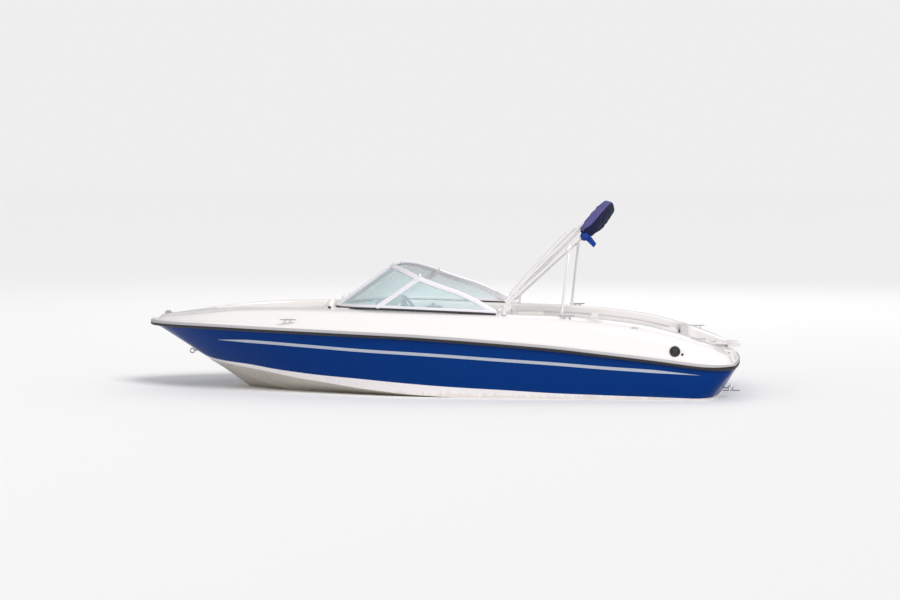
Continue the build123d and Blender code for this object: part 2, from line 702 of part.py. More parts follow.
# Deck fittings.
for name, x, y, z, lean in CLEATS:
    legs = []
    for leg_x in (x - CLEAT_LEGS, x + CLEAT_LEGS):
        legs.append(rod((leg_x, y, z), (leg_x, y - 60 * lean, z - 60 * (1 - lean)), 7))
    bar = soft_block((x - CLEAT_HALF, x + CLEAT_HALF), (y - 9, y + 9), (z - 8, z + 8), 7)
    save(both_sides(cut(joined(bar, *legs), deck.part)), f"{name}_cleats")
cap = cut(rod((FUEL_CAP[0], FUEL_CAP[1] - 60, FUEL_CAP[2]), FUEL_CAP, FUEL_CAP_RADIUS), deck.part)
save(cap, "fuel_cap")
vent = cut(rod((FUEL_VENT[0], FUEL_VENT[1] - 60, FUEL_VENT[2]), FUEL_VENT, 8), deck.part)
save(vent, "fuel_vent")
light = cut(soft_block((2440, 2550), (-38, 38), (600, 690), 12), deck.part)
save(light, "bow_light")
horn = cut(soft_block((896, 924), (646, 674), (735, 770), 8), deck.part)
save(horn, "horn")
save(cut(eye(BOW_EYE, -90, 1 - EYE_HOLE), hull.part), "bow_eye")
save(both_sides(cut(eye(STERN_EYE, EYE_HOLE - 1, 110), hull.part)), "stern_eyes")

# Swim ladder folded on the stern step.
aft, fore = LADDER_X
ladder = [rod((aft, y, LADDER_Z), (fore, y, LADDER_Z), 12) for y in LADDER_Y]
ladder += [rod((x, LADDER_Y[0], LADDER_Z), (x, LADDER_Y[1], LADDER_Z), 12) for x in LADDER_STEPS]
ladder += [rod((aft, y - 10, LADDER_Z), (aft, y + 10, LADDER_Z), 16) for y in LADDER_Y]
ladder_bore = rod((aft, LADDER_Y[0] - 60, LADDER_Z), (aft, 0, LADDER_Z), PIN_RADIUS + PIN_FIT)
save(cut(joined(*ladder), ladder_bore), "swim_ladder")
brackets = []
for y in LADDER_Y:
    for edge in (-1, 1):
        cheek_y = sorted((y + edge * 14, y + edge * 22))
        brackets.append(block((aft - 14, aft + 100), cheek_y, (STEP_LEVEL + 22, LADDER_Z + 14)))
    brackets.append(rod((aft, y - 22, LADDER_Z), (aft, y + 22, LADDER_Z), PIN_RADIUS))
    brackets.append(block((aft + 50, aft + 100), (y - 30, y + 30), (STEP_LEVEL, STEP_LEVEL + 24)))
save(cut(joined(*brackets), deck.part), "ladder_brackets")

# Stern drive.
with BuildPart() as housing_slab:
    with BuildSketch(Plane.XZ.offset(-HOUSING_HALF)):
        with BuildLine():
            slab_low = (stern_x(HOUSING_Z[0]), HOUSING_Z[0])
            slab_high = (stern_x(HOUSING_Z[1]), HOUSING_Z[1])
            Polyline(
                (slab_low[0] + 60, slab_low[1]), (slab_low[0] - HOUSING_THICK, slab_low[1]),
                (slab_high[0] - HOUSING_THICK, slab_high[1]), (slab_high[0] + 60, slab_high[1]), close=True,
            )
        make_face()
    extrude(amount=2 * HOUSING_HALF)
lugs = []
for low, high in HOUSING_LUGS:
    lugs.append(block((STEER_X, stern_x(low) + 40), (-LUG_RADIUS, LUG_RADIUS), (low, high)))
    lugs.append(rod((STEER_X, 0, low), (STEER_X, 0, high), LUG_RADIUS))
lug_bore = rod((STEER_X, 0, -400), (STEER_X, 0, 100), STEER_PIN + PIN_FIT)
housing = cut(joined(housing_slab.part, *lugs), hull_body.part, lug_bore)
save(housing, "gimbal_housing")
ring = cut(
    joined(
        block((STEER_X - 30, STEER_X + 30), (-RING_HALF, RING_HALF), RING_Z),
        rod((STEER_X, 0, HOUSING_LUGS[1][0]), (STEER_X, 0, HOUSING_LUGS[0][1]), STEER_PIN),
        block((STEER_X - 30, STEER_X + 20), (-RING_EAR, RING_EAR), (RING_Z[0], RING_OPEN_Z[0])),
    ),
    block((STEER_X - 60, STEER_X + 60), (-RING_OPEN_Y, RING_OPEN_Y), RING_OPEN_Z),
    rod((STEER_X, -200, TILT_Z), (STEER_X, 200, TILT_Z), TILT_PIN + PIN_FIT),
)
front_x, front_y, front_z = CYLINDER_FRONT
front_pins = rod((front_x, -front_y - 14, front_z), (front_x, front_y + 14, front_z), PIN_RADIUS)
save(joined(ring, front_pins), "gimbal_ring")

tilt_pins = rod((STEER_X, -RING_HALF + 4, TILT_Z), (STEER_X, RING_HALF - 4, TILT_Z), TILT_PIN)
tilt_pins = cut(tilt_pins, block((STEER_X - 60, STEER_X + 60), (-70, 70), (TILT_Z - 60, TILT_Z + 60)))
bell = block((LEG_X[1] - 20, STEER_X - 12), (-84, 84), (TILT_Z - 50, TILT_Z + 50))
bell_ears = []
for side in (1, -1):
    near, far = sorted((side * 68, side * 90))
    bell_ears.append(block((STEER_X - 30, STEER_X), (near, far), (TILT_Z - 26, TILT_Z + 26)))
    bell_ears.append(rod((STEER_X, near, TILT_Z), (STEER_X, far, TILT_Z), 26))
with BuildPart() as upper_case:
    with Locations(((LEG_X[0] + LEG_X[1]) / 2, 0, (LEG_TOP - 330) / 2)):
        Box(LEG_X[1] - LEG_X[0], 150, LEG_TOP + 330)
    fillet(upper_case.edges().filter_by(Axis.Z), radius=45)
with BuildPart() as lower_case:
    for z, front, back, half in LEG_SECTIONS:
        with BuildSketch(Plane.XY.offset(z)):
            with BuildLine():
                widest = (front * 2 + back) / 3
                Polyline((front, 0), (widest, half), (back, 0), (widest, -half), close=True)
            make_face()
    loft(ruled=True)
plate = prism([(-2770, 60), (-2960, 110), (-3160, 80), (-3160, -80), (-2960, -110), (-2770, -60)], -412, -400)
with BuildPart() as torpedo:
    with BuildSketch(Plane.XZ):
        with BuildLine():
            nose = [(-2720, 0), (-2745, 30), (-2800, 50), (-3020, 52), (-3020, 0)]
            Polyline(*[(x, PROP_Z + rise) for x, rise in nose], close=True)
        make_face()
    revolve(axis=Axis((0, 0, PROP_Z), (1, 0, 0)))
shaft = rod((-3020, 0, PROP_Z), (-3165, 0, PROP_Z), SHAFT_RADIUS)
rear_x, rear_y, rear_z = CYLINDER_REAR
rear_pins = rod((rear_x, -rear_y - 14, rear_z), (rear_x, rear_y + 14, rear_z), PIN_RADIUS)
leg = joined(upper_case.part, lower_case.part, plate, torpedo.part, shaft)
save(joined(leg, bell, *bell_ears, tilt_pins, rear_pins), "drive_leg")

with BuildPart() as hub:
    with BuildSketch(Plane.YZ.offset(PROP_X[0])):
        with Locations((0, PROP_Z)):
            Circle(PROP_HUB)
            Circle(SHAFT_RADIUS + PIN_FIT, mode=Mode.SUBTRACT)
    extrude(amount=PROP_X[1] - PROP_X[0])
prop_middle = (PROP_X[0] + PROP_X[1]) / 2
with BuildPart() as blade:
    for radius, chord, thickness, pitch in PROP_BLADE:
        across = (math.sin(math.radians(pitch)), math.cos(math.radians(pitch)), 0)
        with BuildSketch(Plane(origin=(prop_middle, 0, PROP_Z + radius), x_dir=across, z_dir=(0, 0, 1))):
            with BuildLine():
                Polyline((-chord / 2, 0), (0, thickness / 2), (chord / 2, 0), (0, -thickness / 2), close=True)
            make_face()
    loft(ruled=True)
prop_axis = Axis((0, 0, PROP_Z), (1, 0, 0))
blades = [blade.part.rotate(prop_axis, turn) for turn in (0, 120, 240)]
save(joined(hub.part, *blades), "propeller")

for name, side in (("port", 1), ("starboard", -1)):
    front = Vector(CYLINDER_FRONT[0], side * CYLINDER_FRONT[1], CYLINDER_FRONT[2])
    rear = Vector(CYLINDER_REAR[0], side * CYLINDER_REAR[1], CYLINDER_REAR[2])
    run = (rear - front).normalized()
    across = Vector(0, 12, 0)
    barrel_parts = [rod(front + run * 24, front + run * 250, 23), rod(front - across, front + across, 20)]
    barrel_parts.append(rod(front, front + run * 30, 14))
    pin_bore = rod(front - across * 3, front + across * 3, PIN_RADIUS + PIN_FIT)
    rod_bore = rod(front + run * 50, front + run * 260, ROD_RADIUS + PIN_FIT)
    save(cut(joined(*barrel_parts), pin_bore, rod_bore), f"trim_barrel_{name}")
    rod_eye = rod(rear - across, rear + across, ROD_EYE)
    piston = joined(rod(front + run * 60, rear - run * 10, ROD_RADIUS), rod_eye)
    piston = cut(piston, rod(rear - across * 3, rear + across * 3, PIN_RADIUS + ROD_DRIFT))
    save(piston, f"trim_rod_{name}")
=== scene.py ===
"""Bowrider speedboat, afloat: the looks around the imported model, in metres.

The frame has +X towards the bow, +Y towards port and +Z up from the waterline.
"""

import logging
import math
from contextlib import contextmanager
from dataclasses import dataclass
from enum import Enum
from typing import Callable, Iterator, Sequence

import bpy
import numpy as np
from mathutils import Matrix, Vector, noise
from mathutils.geometry import delaunay_2d_cdt


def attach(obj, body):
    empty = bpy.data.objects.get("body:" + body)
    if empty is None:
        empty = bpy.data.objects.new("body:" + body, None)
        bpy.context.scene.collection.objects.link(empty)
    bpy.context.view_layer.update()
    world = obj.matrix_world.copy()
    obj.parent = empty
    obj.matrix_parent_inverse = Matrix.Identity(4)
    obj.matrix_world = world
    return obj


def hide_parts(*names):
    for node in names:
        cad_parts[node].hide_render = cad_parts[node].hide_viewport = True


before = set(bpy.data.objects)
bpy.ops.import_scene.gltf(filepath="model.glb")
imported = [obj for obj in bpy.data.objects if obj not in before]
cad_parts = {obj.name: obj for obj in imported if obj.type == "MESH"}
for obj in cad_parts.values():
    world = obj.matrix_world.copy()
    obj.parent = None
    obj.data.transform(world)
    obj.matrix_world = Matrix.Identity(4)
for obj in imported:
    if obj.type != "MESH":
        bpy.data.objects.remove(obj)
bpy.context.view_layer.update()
log = logging.getLogger("speedboat")

Shape = bpy.types.Object
Tree = bpy.types.NodeTree
Node = bpy.types.Node
Socket = bpy.types.NodeSocket
Point = tuple[float, float, float]
Flat = tuple[float, float]
Colour = tuple[float, float, float]


def clear() -> None:
    """Leave edit mode and deselect everything."""
    if bpy.context.object and bpy.context.object.mode != "OBJECT":
        bpy.ops.object.mode_set(mode="OBJECT")
    for obj in bpy.context.selected_objects:
        obj.select_set(False)


def pick(*objects: Shape) -> Shape:
    """Select only these objects and make the first one active.

    Args:
        objects: What to select.

    Returns:
        The active object.
    """
    clear()
    for obj in objects:
        obj.select_set(True)
    bpy.context.view_layer.objects.active = objects[0]
    return objects[0]


def modify(obj: Shape, kind: str, **settings: object) -> Shape:
    """Add a modifier and apply it.

    Args:
        obj: The piece.
        kind: The modifier's type.
        settings: Its properties.

    Returns:
        The piece.
    """
    pick(obj)
    modifier = obj.modifiers.new(kind.lower(), kind)
    for key, value in settings.items():
        setattr(modifier, key, value)
    bpy.ops.object.modifier_apply(modifier=modifier.name)
    return obj


def bevelled(obj: Shape, width: float, segments: int = 3, angle: float = 35) -> Shape:
    """Round a piece's sharp edges.

    Args:
        obj: The piece.
        width: Width of the rounding.
        segments: Steps round it.
        angle: Edges sharper than this many degrees are rounded.

    Returns:
        The piece.
    """
    limits = {"limit_method": "ANGLE", "angle_limit": math.radians(angle)}
    return modify(obj, "BEVEL", width=width, segments=segments, use_clamp_overlap=True, **limits)


def smooth(obj: Shape, angle: float = 38) -> Shape:
    """Shade a piece smooth, apart from edges sharper than an angle in degrees."""
    pick(obj)
    bpy.ops.object.shade_smooth_by_angle(angle=math.radians(angle))
    return obj


@contextmanager
def editing(obj: Shape) -> Iterator[None]:
    """Edit mode with the whole mesh selected, for as long as the block runs."""
    pick(obj)
    bpy.ops.object.mode_set(mode="EDIT")
    bpy.ops.mesh.select_all(action="SELECT")
    yield
    bpy.ops.object.mode_set(mode="OBJECT")


def outward(obj: Shape, merge: float = 1e-5) -> Shape:
    """Merge a mesh's doubles and turn its faces outwards."""
    with editing(obj):
        bpy.ops.mesh.remove_doubles(threshold=merge)
        bpy.ops.mesh.dissolve_degenerate(threshold=merge)
        bpy.ops.mesh.select_all(action="SELECT")
        bpy.ops.mesh.normals_make_consistent(inside=False)
    return obj


def join(parts: Sequence[Shape]) -> Shape:
    """Make one piece of several.

    Args:
        parts: The parts, which end in it.

    Returns:
        The whole.
    """
    whole = pick(*parts)
    bpy.ops.object.join()
    return whole


def put(name: str, data: bpy.types.ID) -> Shape:
    """A new object for some data, in the scene."""
    obj = bpy.data.objects.new(name, data)
    bpy.context.scene.collection.objects.link(obj)
    return obj


def copy_of(obj: Shape) -> Shape:
    """A copy of a piece with a mesh of its own."""
    other = obj.copy()
    other.data = obj.data.copy()
    bpy.context.scene.collection.objects.link(other)
    return other


def moved(obj: Shape, matrix: Matrix) -> Shape:
    """Carry a piece's mesh by a matrix, faces outwards also where it mirrors."""
    obj.data.transform(matrix)
    if matrix.determinant() < 0:
        obj.data.flip_normals()
    obj.data.update()
    return obj


ACROSS = Matrix.Scale(-1, 4, (0, 1, 0))
HANDS = {"port": 1, "starboard": -1}


def mm(*points: Sequence[float]) -> tuple[tuple[float, ...], ...]:
    """Points given in millimetres, in metres."""
    return tuple(tuple(value / 1000 for value in point) for point in points)


def facing(centre: Point, axis: Point) -> Matrix:
    """The place of a thing made at the origin along Z, that goes to a centre along an axis."""
    return Matrix.Translation(centre) @ Vector(axis).to_track_quat("Z", "Y").to_matrix().to_4x4()


def mirrored(obj: Shape) -> Shape:
    """The piece's copy on the other side of the boat."""
    return moved(copy_of(obj), ACROSS)


def mesh_of(vertices: Sequence, faces: Sequence) -> Shape:
    """A piece from vertices and faces."""
    mesh = bpy.data.meshes.new("part")
    mesh.from_pydata([tuple(v) for v in vertices], [], faces)
    return put("part", mesh)


def skin(rings: Sequence, closed: bool = False, caps: bool = False) -> Shape:
    """A surface through rows of points.

    Args:
        rings: Rows with the same number of points.
        closed: Whether each row is a loop.
        caps: Whether the first and last loops are filled.

    Returns:
        The piece.
    """
    count = len(rings[0])
    vertices = [point for ring in rings for point in ring]
    faces = []
    for i in range(len(rings) - 1):
        for j in range(count if closed else count - 1):
            k = (j + 1) % count
            faces.append((i * count + j, i * count + k, (i + 1) * count + k, (i + 1) * count + j))
    if caps:
        last = (len(rings) - 1) * count
        faces.append(tuple(range(count))[::-1])
        faces.append(tuple(last + j for j in range(count)))
    return mesh_of(vertices, faces)


def tube(rings: Sequence) -> Shape:
    """A closed body through loops of points."""
    return outward(skin(rings, closed=True, caps=True))


def box(low: Point, high: Point, bevel: float = 0.004, segments: int = 3) -> Shape:
    """A block with rounded edges between two corners."""
    clear()
    centre = [(a + b) / 2 for a, b in zip(low, high)]
    bpy.ops.mesh.primitive_cube_add(size=1, location=centre, scale=[abs(b - a) for a, b in zip(low, high)])
    pick(bpy.context.object)
    bpy.ops.object.transform_apply(location=True, rotation=True, scale=True)
    obj = bpy.context.object
    return bevelled(obj, bevel, segments) if bevel else obj


def bar(start: Point, end: Point, radius: float, top: float | None = None, sides: int = 24,
        bevel: float = 0.0) -> Shape:
    """A round bar between two points.

    Args:
        start: Its first end.
        end: Its other end.
        radius: Radius at the first end.
        top: Radius at the other end, if it differs.
        sides: Faces round it.
        bevel: Rounding of its rims.

    Returns:
        The piece.
    """
    clear()
    run = Vector(end) - Vector(start)
    bpy.ops.mesh.primitive_cone_add(vertices=sides, radius1=radius, radius2=radius if top is None else top,
        depth=run.length)
    obj = moved(bpy.context.object, facing((Vector(start) + Vector(end)) / 2, run))
    return bevelled(obj, bevel, 2) if bevel else obj


def ring(centre: Point, normal: Point, radius: float, thick: float, fine: int = 48) -> Shape:
    """A round ring about an axis."""
    clear()
    bpy.ops.mesh.primitive_torus_add(major_radius=radius, minor_radius=thick, major_segments=fine,
        minor_segments=12)
    return moved(bpy.context.object, facing(centre, normal))


def angles(count: int) -> list[float]:
    """Even angles round a circle."""
    return [math.tau * k / count for k in range(count)]


def turned(profile: Sequence[Flat], centre: Point, axis: Point, steps: int = 32) -> Shape:
    """A turned piece: a profile of radius and height spun round an axis.

    Args:
        profile: Pairs of radius and height along the axis.
        centre: Where height is zero.
        axis: The axis.
        steps: Faces round it.

    Returns:
        The piece.
    """
    rings = [[(radius * math.cos(a), radius * math.sin(a), height) for radius, height in profile]
        for a in angles(steps)]
    return moved(outward(skin([*rings, rings[0]])), facing(centre, axis))


def ball(centre: Point, radius: float, stretch: Point = (1, 1, 1)) -> Shape:
    """A round knob, stretched along the axes."""
    arc = [(radius * math.sin(a), radius * math.cos(a)) for a in angles(24)[:13]]
    knob = turned(arc, (0, 0, 0), (0, 0, 1), 20)
    return moved(knob, Matrix.Translation(centre) @ Matrix.Diagonal((*stretch, 1)))


def share_of(value: float) -> float:
    """A value held between 0 and 1."""
    return min(1.0, max(0.0, value))


def along(table: Sequence[Sequence[float]], x: float, column: int = 1) -> float:
    """Value of a table's column at x, on a smooth curve without overshoot.

    Args:
        table: Rows in rising order of their first column.
        x: Place along the first column.
        column: Column to read.

    Returns:
        The value there, level beyond the table's ends.
    """
    xs = [row[0] for row in table]
    ys = [row[column] for row in table]
    if x <= xs[0]:
        return ys[0]
    if x >= xs[-1]:
        return ys[-1]
    slopes = [(ys[i + 1] - ys[i]) / (xs[i + 1] - xs[i]) for i in range(len(xs) - 1)]
    tangents = [slopes[0]]
    for i in range(1, len(slopes)):
        before, after = slopes[i - 1], slopes[i]
        if before * after <= 0:
            tangents.append(0.0)
        else:
            left, right = xs[i] - xs[i - 1], xs[i + 1] - xs[i]
            first, second = 2 * right + left, right + 2 * left
            tangents.append((first + second) / (first / before + second / after))
    tangents.append(slopes[-1])
    i = max(j for j in range(len(xs) - 1) if xs[j] <= x)
    step = xs[i + 1] - xs[i]
    t = (x - xs[i]) / step
    start = (1 + 2 * t) * (1 - t) ** 2 * ys[i] + t * (1 - t) ** 2 * step * tangents[i]
    return start + t * t * (3 - 2 * t) * ys[i + 1] + t * t * (t - 1) * step * tangents[i + 1]


def flowing(points: Sequence[Sequence[float]], count: int) -> list[Vector]:
    """A smooth line through points, as evenly stepped points.

    Args:
        points: The points it passes.
        count: How many points come back.

    Returns:
        Points on the line, its two ends among them.
    """
    known = [Vector(p) for p in points]
    ends = [known[0] * 2 - known[1], *known, known[-1] * 2 - known[-2]]
    fine = []
    for i in range(1, len(ends) - 2):
        a, b, c, d = ends[i - 1 : i + 3]
        for k in range(16):
            t = k / 16
            fine.append(0.5 * (2 * b + (c - a) * t + (2 * a - 5 * b + 4 * c - d) * t * t
                + (3 * b - a - 3 * c + d) * t ** 3))
    fine.append(known[-1])
    run = [0.0]
    for a, b in zip(fine, fine[1:]):
        run.append(run[-1] + (b - a).length)
    line, k = [], 0
    for i in range(count):
        want = run[-1] * i / (count - 1)
        while k < len(run) - 2 and run[k + 1] < want:
            k += 1
        line.append(fine[k].lerp(fine[k + 1], (want - run[k]) / max(run[k + 1] - run[k], 1e-9)))
    return line


def swept(line: Sequence[Vector], faces: Sequence[Vector], profile: Sequence[Flat],
        loop: bool = False) -> Shape:
    """A moulding of one section along a line.

    Args:
        line: Points of the line.
        faces: At each point, the direction that the section's second axis follows.
        profile: The section, as (sideways, along the face direction).
        loop: Whether the line closes on itself.

    Returns:
        The piece.
    """
    rings = []
    count = len(line)
    for i, point in enumerate(line):
        before = line[(i - 1) % count] if loop or i else point
        after = line[(i + 1) % count] if loop or i < count - 1 else point
        run = (after - before).normalized()
        face = (faces[i] - run * faces[i].dot(run)).normalized()
        side = run.cross(face)
        rings.append([point + side * a + face * b for a, b in profile])
    if loop:
        rings.append(rings[0])
    return outward(skin(rings, closed=True, caps=not loop))


def oval(wide: float, high: float, count: int) -> list[Flat]:
    """An oval's points."""
    return [(wide * math.cos(a), high * math.sin(a)) for a in angles(count)]


def pipe(points: Sequence[Sequence[float]], radius: float, count: int = 0, sides: int = 14,
        bend: bool = True) -> Shape:
    """A tube of one radius along a smooth line.

    Args:
        points: Points that the tube passes.
        radius: Its radius.
        count: Rings along it, or 0 for one each 25 mm.
        sides: Faces round it.
        bend: Whether the line is smoothed between the points.

    Returns:
        The piece.
    """
    length = sum((Vector(b) - Vector(a)).length for a, b in zip(points, points[1:]))
    line = flowing(points, count or max(4, int(length / 0.025))) if bend else [Vector(p) for p in points]
    up = Vector((0, 0, 1))
    run = (line[-1] - line[0]).normalized()
    if abs(run.z) > 0.9:
        up = Vector((1, 0, 0))
    return swept(line, [up] * len(line), oval(radius, radius, sides))


def bar_section(width: float, thick: float, soft: float = 0.006, steps: int = 3) -> list[Flat]:
    """A flat bar's section with round corners, from 0 to its width sideways."""
    soft = min(soft, thick / 2 - 0.0005, width / 2 - 0.0005)
    section = []
    corners = [(width - soft, thick / 2 - soft, 0), (soft, thick / 2 - soft, 90), (soft, soft - thick / 2,
        180), (width - soft, soft - thick / 2, 270)]
    for x, y, start in corners:
        for k in range(steps + 1):
            a = math.radians(start + 90 * k / steps)
            section.append((x + soft * math.cos(a), y + soft * math.sin(a)))
    return section


def rounded(points: Sequence[Flat], radii: Sequence[float], steps: int = 8) -> list[Flat]:
    """A plan line with its corners rounded.

    Args:
        points: Corners of an open line.
        radii: A radius for each inner corner.
        steps: Steps round each corner.

    Returns:
        The line's points.
    """
    line = [points[0]]
    for i in range(1, len(points) - 1):
        corner = Vector(points[i])
        back, on = Vector(points[i - 1]) - corner, Vector(points[i + 1]) - corner
        half = back.angle(on) / 2
        reach = min(radii[i - 1] / math.tan(half), 0.48 * back.length, 0.48 * on.length)
        start, end = corner + back.normalized() * reach, corner + on.normalized() * reach
        for k in range(steps + 1):
            t = k / steps
            line.append(tuple(start * (1 - t) ** 2 + corner * 2 * t * (1 - t) + end * t * t))
    line.append(points[-1])
    return line


def normals_of(line: Sequence[Flat]) -> list[Vector]:
    """Plan directions at right angles to a line, to the right of its run."""
    found = []
    for i in range(len(line)):
        a, b = Vector(line[max(i - 1, 0)]), Vector(line[min(i + 1, len(line) - 1)])
        run = (b - a).normalized()
        found.append(Vector((run.y, -run.x)))
    return found


def inside(points: np.ndarray, outline: np.ndarray) -> np.ndarray:
    """Which plan points lie inside a closed outline."""
    x, y = points[:, 0], points[:, 1]
    hit = np.zeros(len(points), bool)
    for (x0, y0), (x1, y1) in zip(outline, np.roll(outline, -1, axis=0)):
        if y0 != y1:
            crosses = (y0 > y) != (y1 > y)
            hit ^= crosses & (x < (x1 - x0) * (y - y0) / (y1 - y0) + x0)
    return hit


def edge_distance(points: np.ndarray, outline: np.ndarray) -> np.ndarray:
    """Distance of plan points from a closed outline."""
    best = np.full(len(points), 1e9)
    for a, b in zip(outline, np.roll(outline, -1, axis=0)):
        run = b - a
        size = max(float(run @ run), 1e-12)
        t = np.clip(((points - a) @ run) / size, 0, 1)
        best = np.minimum(best, np.linalg.norm(points - (a + t[:, None] * run), axis=1))
    return best


def filled(outline: Sequence[Flat], pitch: float, clear_of_edge: float) -> tuple[list[Flat],
        list[tuple[int, ...]]]:
    """Triangles that fill a plan outline on an even grid.

    Args:
        outline: The closed outline.
        pitch: Spacing of the points inside.
        clear_of_edge: How near to the outline they come.

    Returns:
        Plan points, the outline's first, and faces.
    """
    edge = np.array(outline, float)
    low, high = edge.min(0), edge.max(0)
    xs = np.arange(low[0] + pitch / 2, high[0], pitch)
    ys = np.arange(low[1] + pitch / 2, high[1], pitch)
    grid = np.array([(x, y) for x in xs for y in ys], float).reshape(-1, 2)
    if len(grid):
        grid = grid[inside(grid, edge)]
    if len(grid):
        grid = grid[edge_distance(grid, edge) > clear_of_edge]
    points = [Vector(p) for p in edge] + [Vector(p) for p in grid]
    made = delaunay_2d_cdt(points, [], [list(range(len(edge)))], 1, 1e-6)
    return [tuple(p) for p in made[0]], [tuple(f) for f in made[2]]


def group_of(name: str, inputs: Sequence[tuple[str, str, object]],
        outputs: Sequence[tuple[str, str]]) -> tuple[Tree, Node, Node]:
    """A new shader node group with its sockets.

    Args:
        name: The group's name.
        inputs: Socket name, short type and default of each input.
        outputs: Socket name and short type of each output.

    Returns:
        The group, its input node and its output node.
    """
    kinds = {"v": "NodeSocketVector", "c": "NodeSocketColor", "f": "NodeSocketFloat"}
    group = bpy.data.node_groups.new(name, "ShaderNodeTree")
    for title, kind, default in inputs:
        socket = group.interface.new_socket(title, in_out="INPUT", socket_type=kinds[kind])
        if default is not None:
            socket.default_value = default
    for title, kind in outputs:
        group.interface.new_socket(title, in_out="OUTPUT", socket_type=kinds[kind])
    return group, group.nodes.new("NodeGroupInput"), group.nodes.new("NodeGroupOutput")


def add_node(tree: Tree, kind: str, values: dict | None = None, **inputs: object) -> Node:
    """A node with its properties set and its inputs linked or set.

    Args:
        tree: Where it goes.
        kind: Its type, without the usual first words.
        values: Properties of the node.
        inputs: Sockets by name, spaces written as underscores: a socket is linked, a value set.

    Returns:
        The node.
    """
    node = tree.nodes.new("ShaderNode" + kind)
    for key, value in (values or {}).items():
        setattr(node, key, value)
    for key, value in inputs.items():
        place = int(key[1:]) if key[0] == "i" and key[1:].isdigit() else key.replace("_", " ")
        socket = node.inputs[place]
        if isinstance(value, Socket):
            tree.links.new(value, socket)
        else:
            socket.default_value = value
    return node


def spot(start: Node) -> dict[str, Socket]:
    """A group's place and scale, as inputs of a texture in it."""
    return {"Vector": start.outputs["Vector"], "Scale": start.outputs["Scale"]}


def times(tree: Tree, one: object, two: object) -> Socket:
    """The product of two sockets, or of a socket and a number."""
    return add_node(tree, "Math", {"operation": "MULTIPLY"}, i0=one, i1=two).outputs[0]


def drift_group() -> Tree:
    """Slow change of a colour over a surface, as on sun-aged gelcoat, paint or cloth."""
    inputs = [("Vector", "v", None), ("Colour", "c", (0.8, 0.8, 0.8, 1)),
        ("Other", "c", (0.7, 0.7, 0.7, 1)), ("Scale", "f", 3.0), ("Amount", "f", 0.5)]
    group, start, end = group_of("surface_drift", inputs, [("Colour", "c"), ("Mask", "f")])
    wide = add_node(group, "TexNoise", **spot(start), Detail=5.0, Roughness=0.6)
    finer = times(group, start.outputs["Scale"], 11.0)
    small = add_node(group, "TexNoise", Vector=start.outputs["Vector"], Scale=finer, Detail=3.0)
    both = times(group, wide.outputs["Fac"], small.outputs["Fac"])
    mask = add_node(group, "MapRange", Value=both, From_Min=0.12, From_Max=0.42)
    share = times(group, mask.outputs[0], start.outputs["Amount"])
    mixed = add_node(group, "Mix", {"data_type": "RGBA"}, i0=share, i6=start.outputs["Colour"],
        i7=start.outputs["Other"])
    group.links.new(mixed.outputs[2], end.inputs["Colour"])
    group.links.new(mask.outputs[0], end.inputs["Mask"])
    return group


def stain_group() -> Tree:
    """Scum and drip marks that fade upwards from the waterline."""
    inputs = [("Vector", "v", None), ("Colour", "c", (0.8, 0.8, 0.8, 1)),
        ("Stain", "c", (0.4, 0.35, 0.25, 1)), ("Height", "f", 0.06), ("Amount", "f", 0.4)]
    group, start, end = group_of("waterline_stain", inputs, [("Colour", "c"), ("Mask", "f")])
    parts = add_node(group, "SeparateXYZ", Vector=start.outputs["Vector"])
    long = add_node(group, "Mapping", Vector=start.outputs["Vector"], Scale=(9.0, 9.0, 1.2))
    drips = add_node(group, "TexNoise", Vector=long.outputs[0], Scale=2.4, Detail=6.0, Roughness=0.65)
    reach = add_node(group, "MapRange", Value=drips.outputs["Fac"], From_Min=0.35, From_Max=0.7, To_Min=0.3,
        To_Max=1.6)
    top = times(group, start.outputs["Height"], reach.outputs[0])
    mask = add_node(group, "MapRange", {"interpolation_type": "SMOOTHSTEP"}, Value=parts.outputs["Z"],
        From_Min=top, From_Max=0.0)
    share = times(group, mask.outputs[0], start.outputs["Amount"])
    mixed = add_node(group, "Mix", {"data_type": "RGBA"}, i0=share, i6=start.outputs["Colour"],
        i7=start.outputs["Stain"])
    group.links.new(mixed.outputs[2], end.inputs["Colour"])
    group.links.new(share, end.inputs["Mask"])
    return group


def height_group(name: str, build: Callable) -> Tree:
    """A relief group from a function that puts its nodes in and gives the height socket."""
    group, start, end = group_of(name, [("Vector", "v", None), ("Scale", "f", 100.0)], [("Height", "f")])
    group.links.new(build(group, start), end.inputs["Height"])
    return group


def orange_peel(group: Tree, start: Node) -> Socket:
    """Faint waviness of sprayed or moulded gloss."""
    fine = add_node(group, "TexNoise", **spot(start), Detail=1.0)
    return fine.outputs["Fac"]


def pebbles(group: Tree, start: Node) -> Socket:
    """Raised dots of moulded non-skid."""
    cells = add_node(group, "TexVoronoi", **spot(start), Randomness=0.35)
    dots = add_node(group, "MapRange", {"interpolation_type": "SMOOTHSTEP"},
        Value=cells.outputs["Distance"], From_Min=0.5, From_Max=0.22)
    return dots.outputs[0]


def hide_grain(group: Tree, start: Node) -> Socket:
    """Pebbled grain of seat vinyl, with finer creases over it."""
    cells = add_node(group, "TexVoronoi", {"feature": "SMOOTH_F1"}, **spot(start))
    fine = add_node(group, "TexNoise", **spot(start), Detail=4.0)
    both = add_node(group, "Math", {"operation": "MULTIPLY_ADD"}, i0=fine.outputs["Fac"], i1=0.35,
        i2=cells.outputs["Distance"])
    return both.outputs[0]


def canvas(group: Tree, start: Node) -> Socket:
    """Plain weave of marine canvas: two sets of threads at right angles."""
    threads = []
    for direction in ("X", "Y"):
        wave = add_node(group, "TexWave", {"wave_type": "BANDS", "bands_direction": direction},
            **spot(start), Distortion=0.6)
        threads.append(wave.outputs["Fac"])
    both = add_node(group, "Math", {"operation": "MAXIMUM"}, i0=threads[0], i1=threads[1])
    return both.outputs[0]


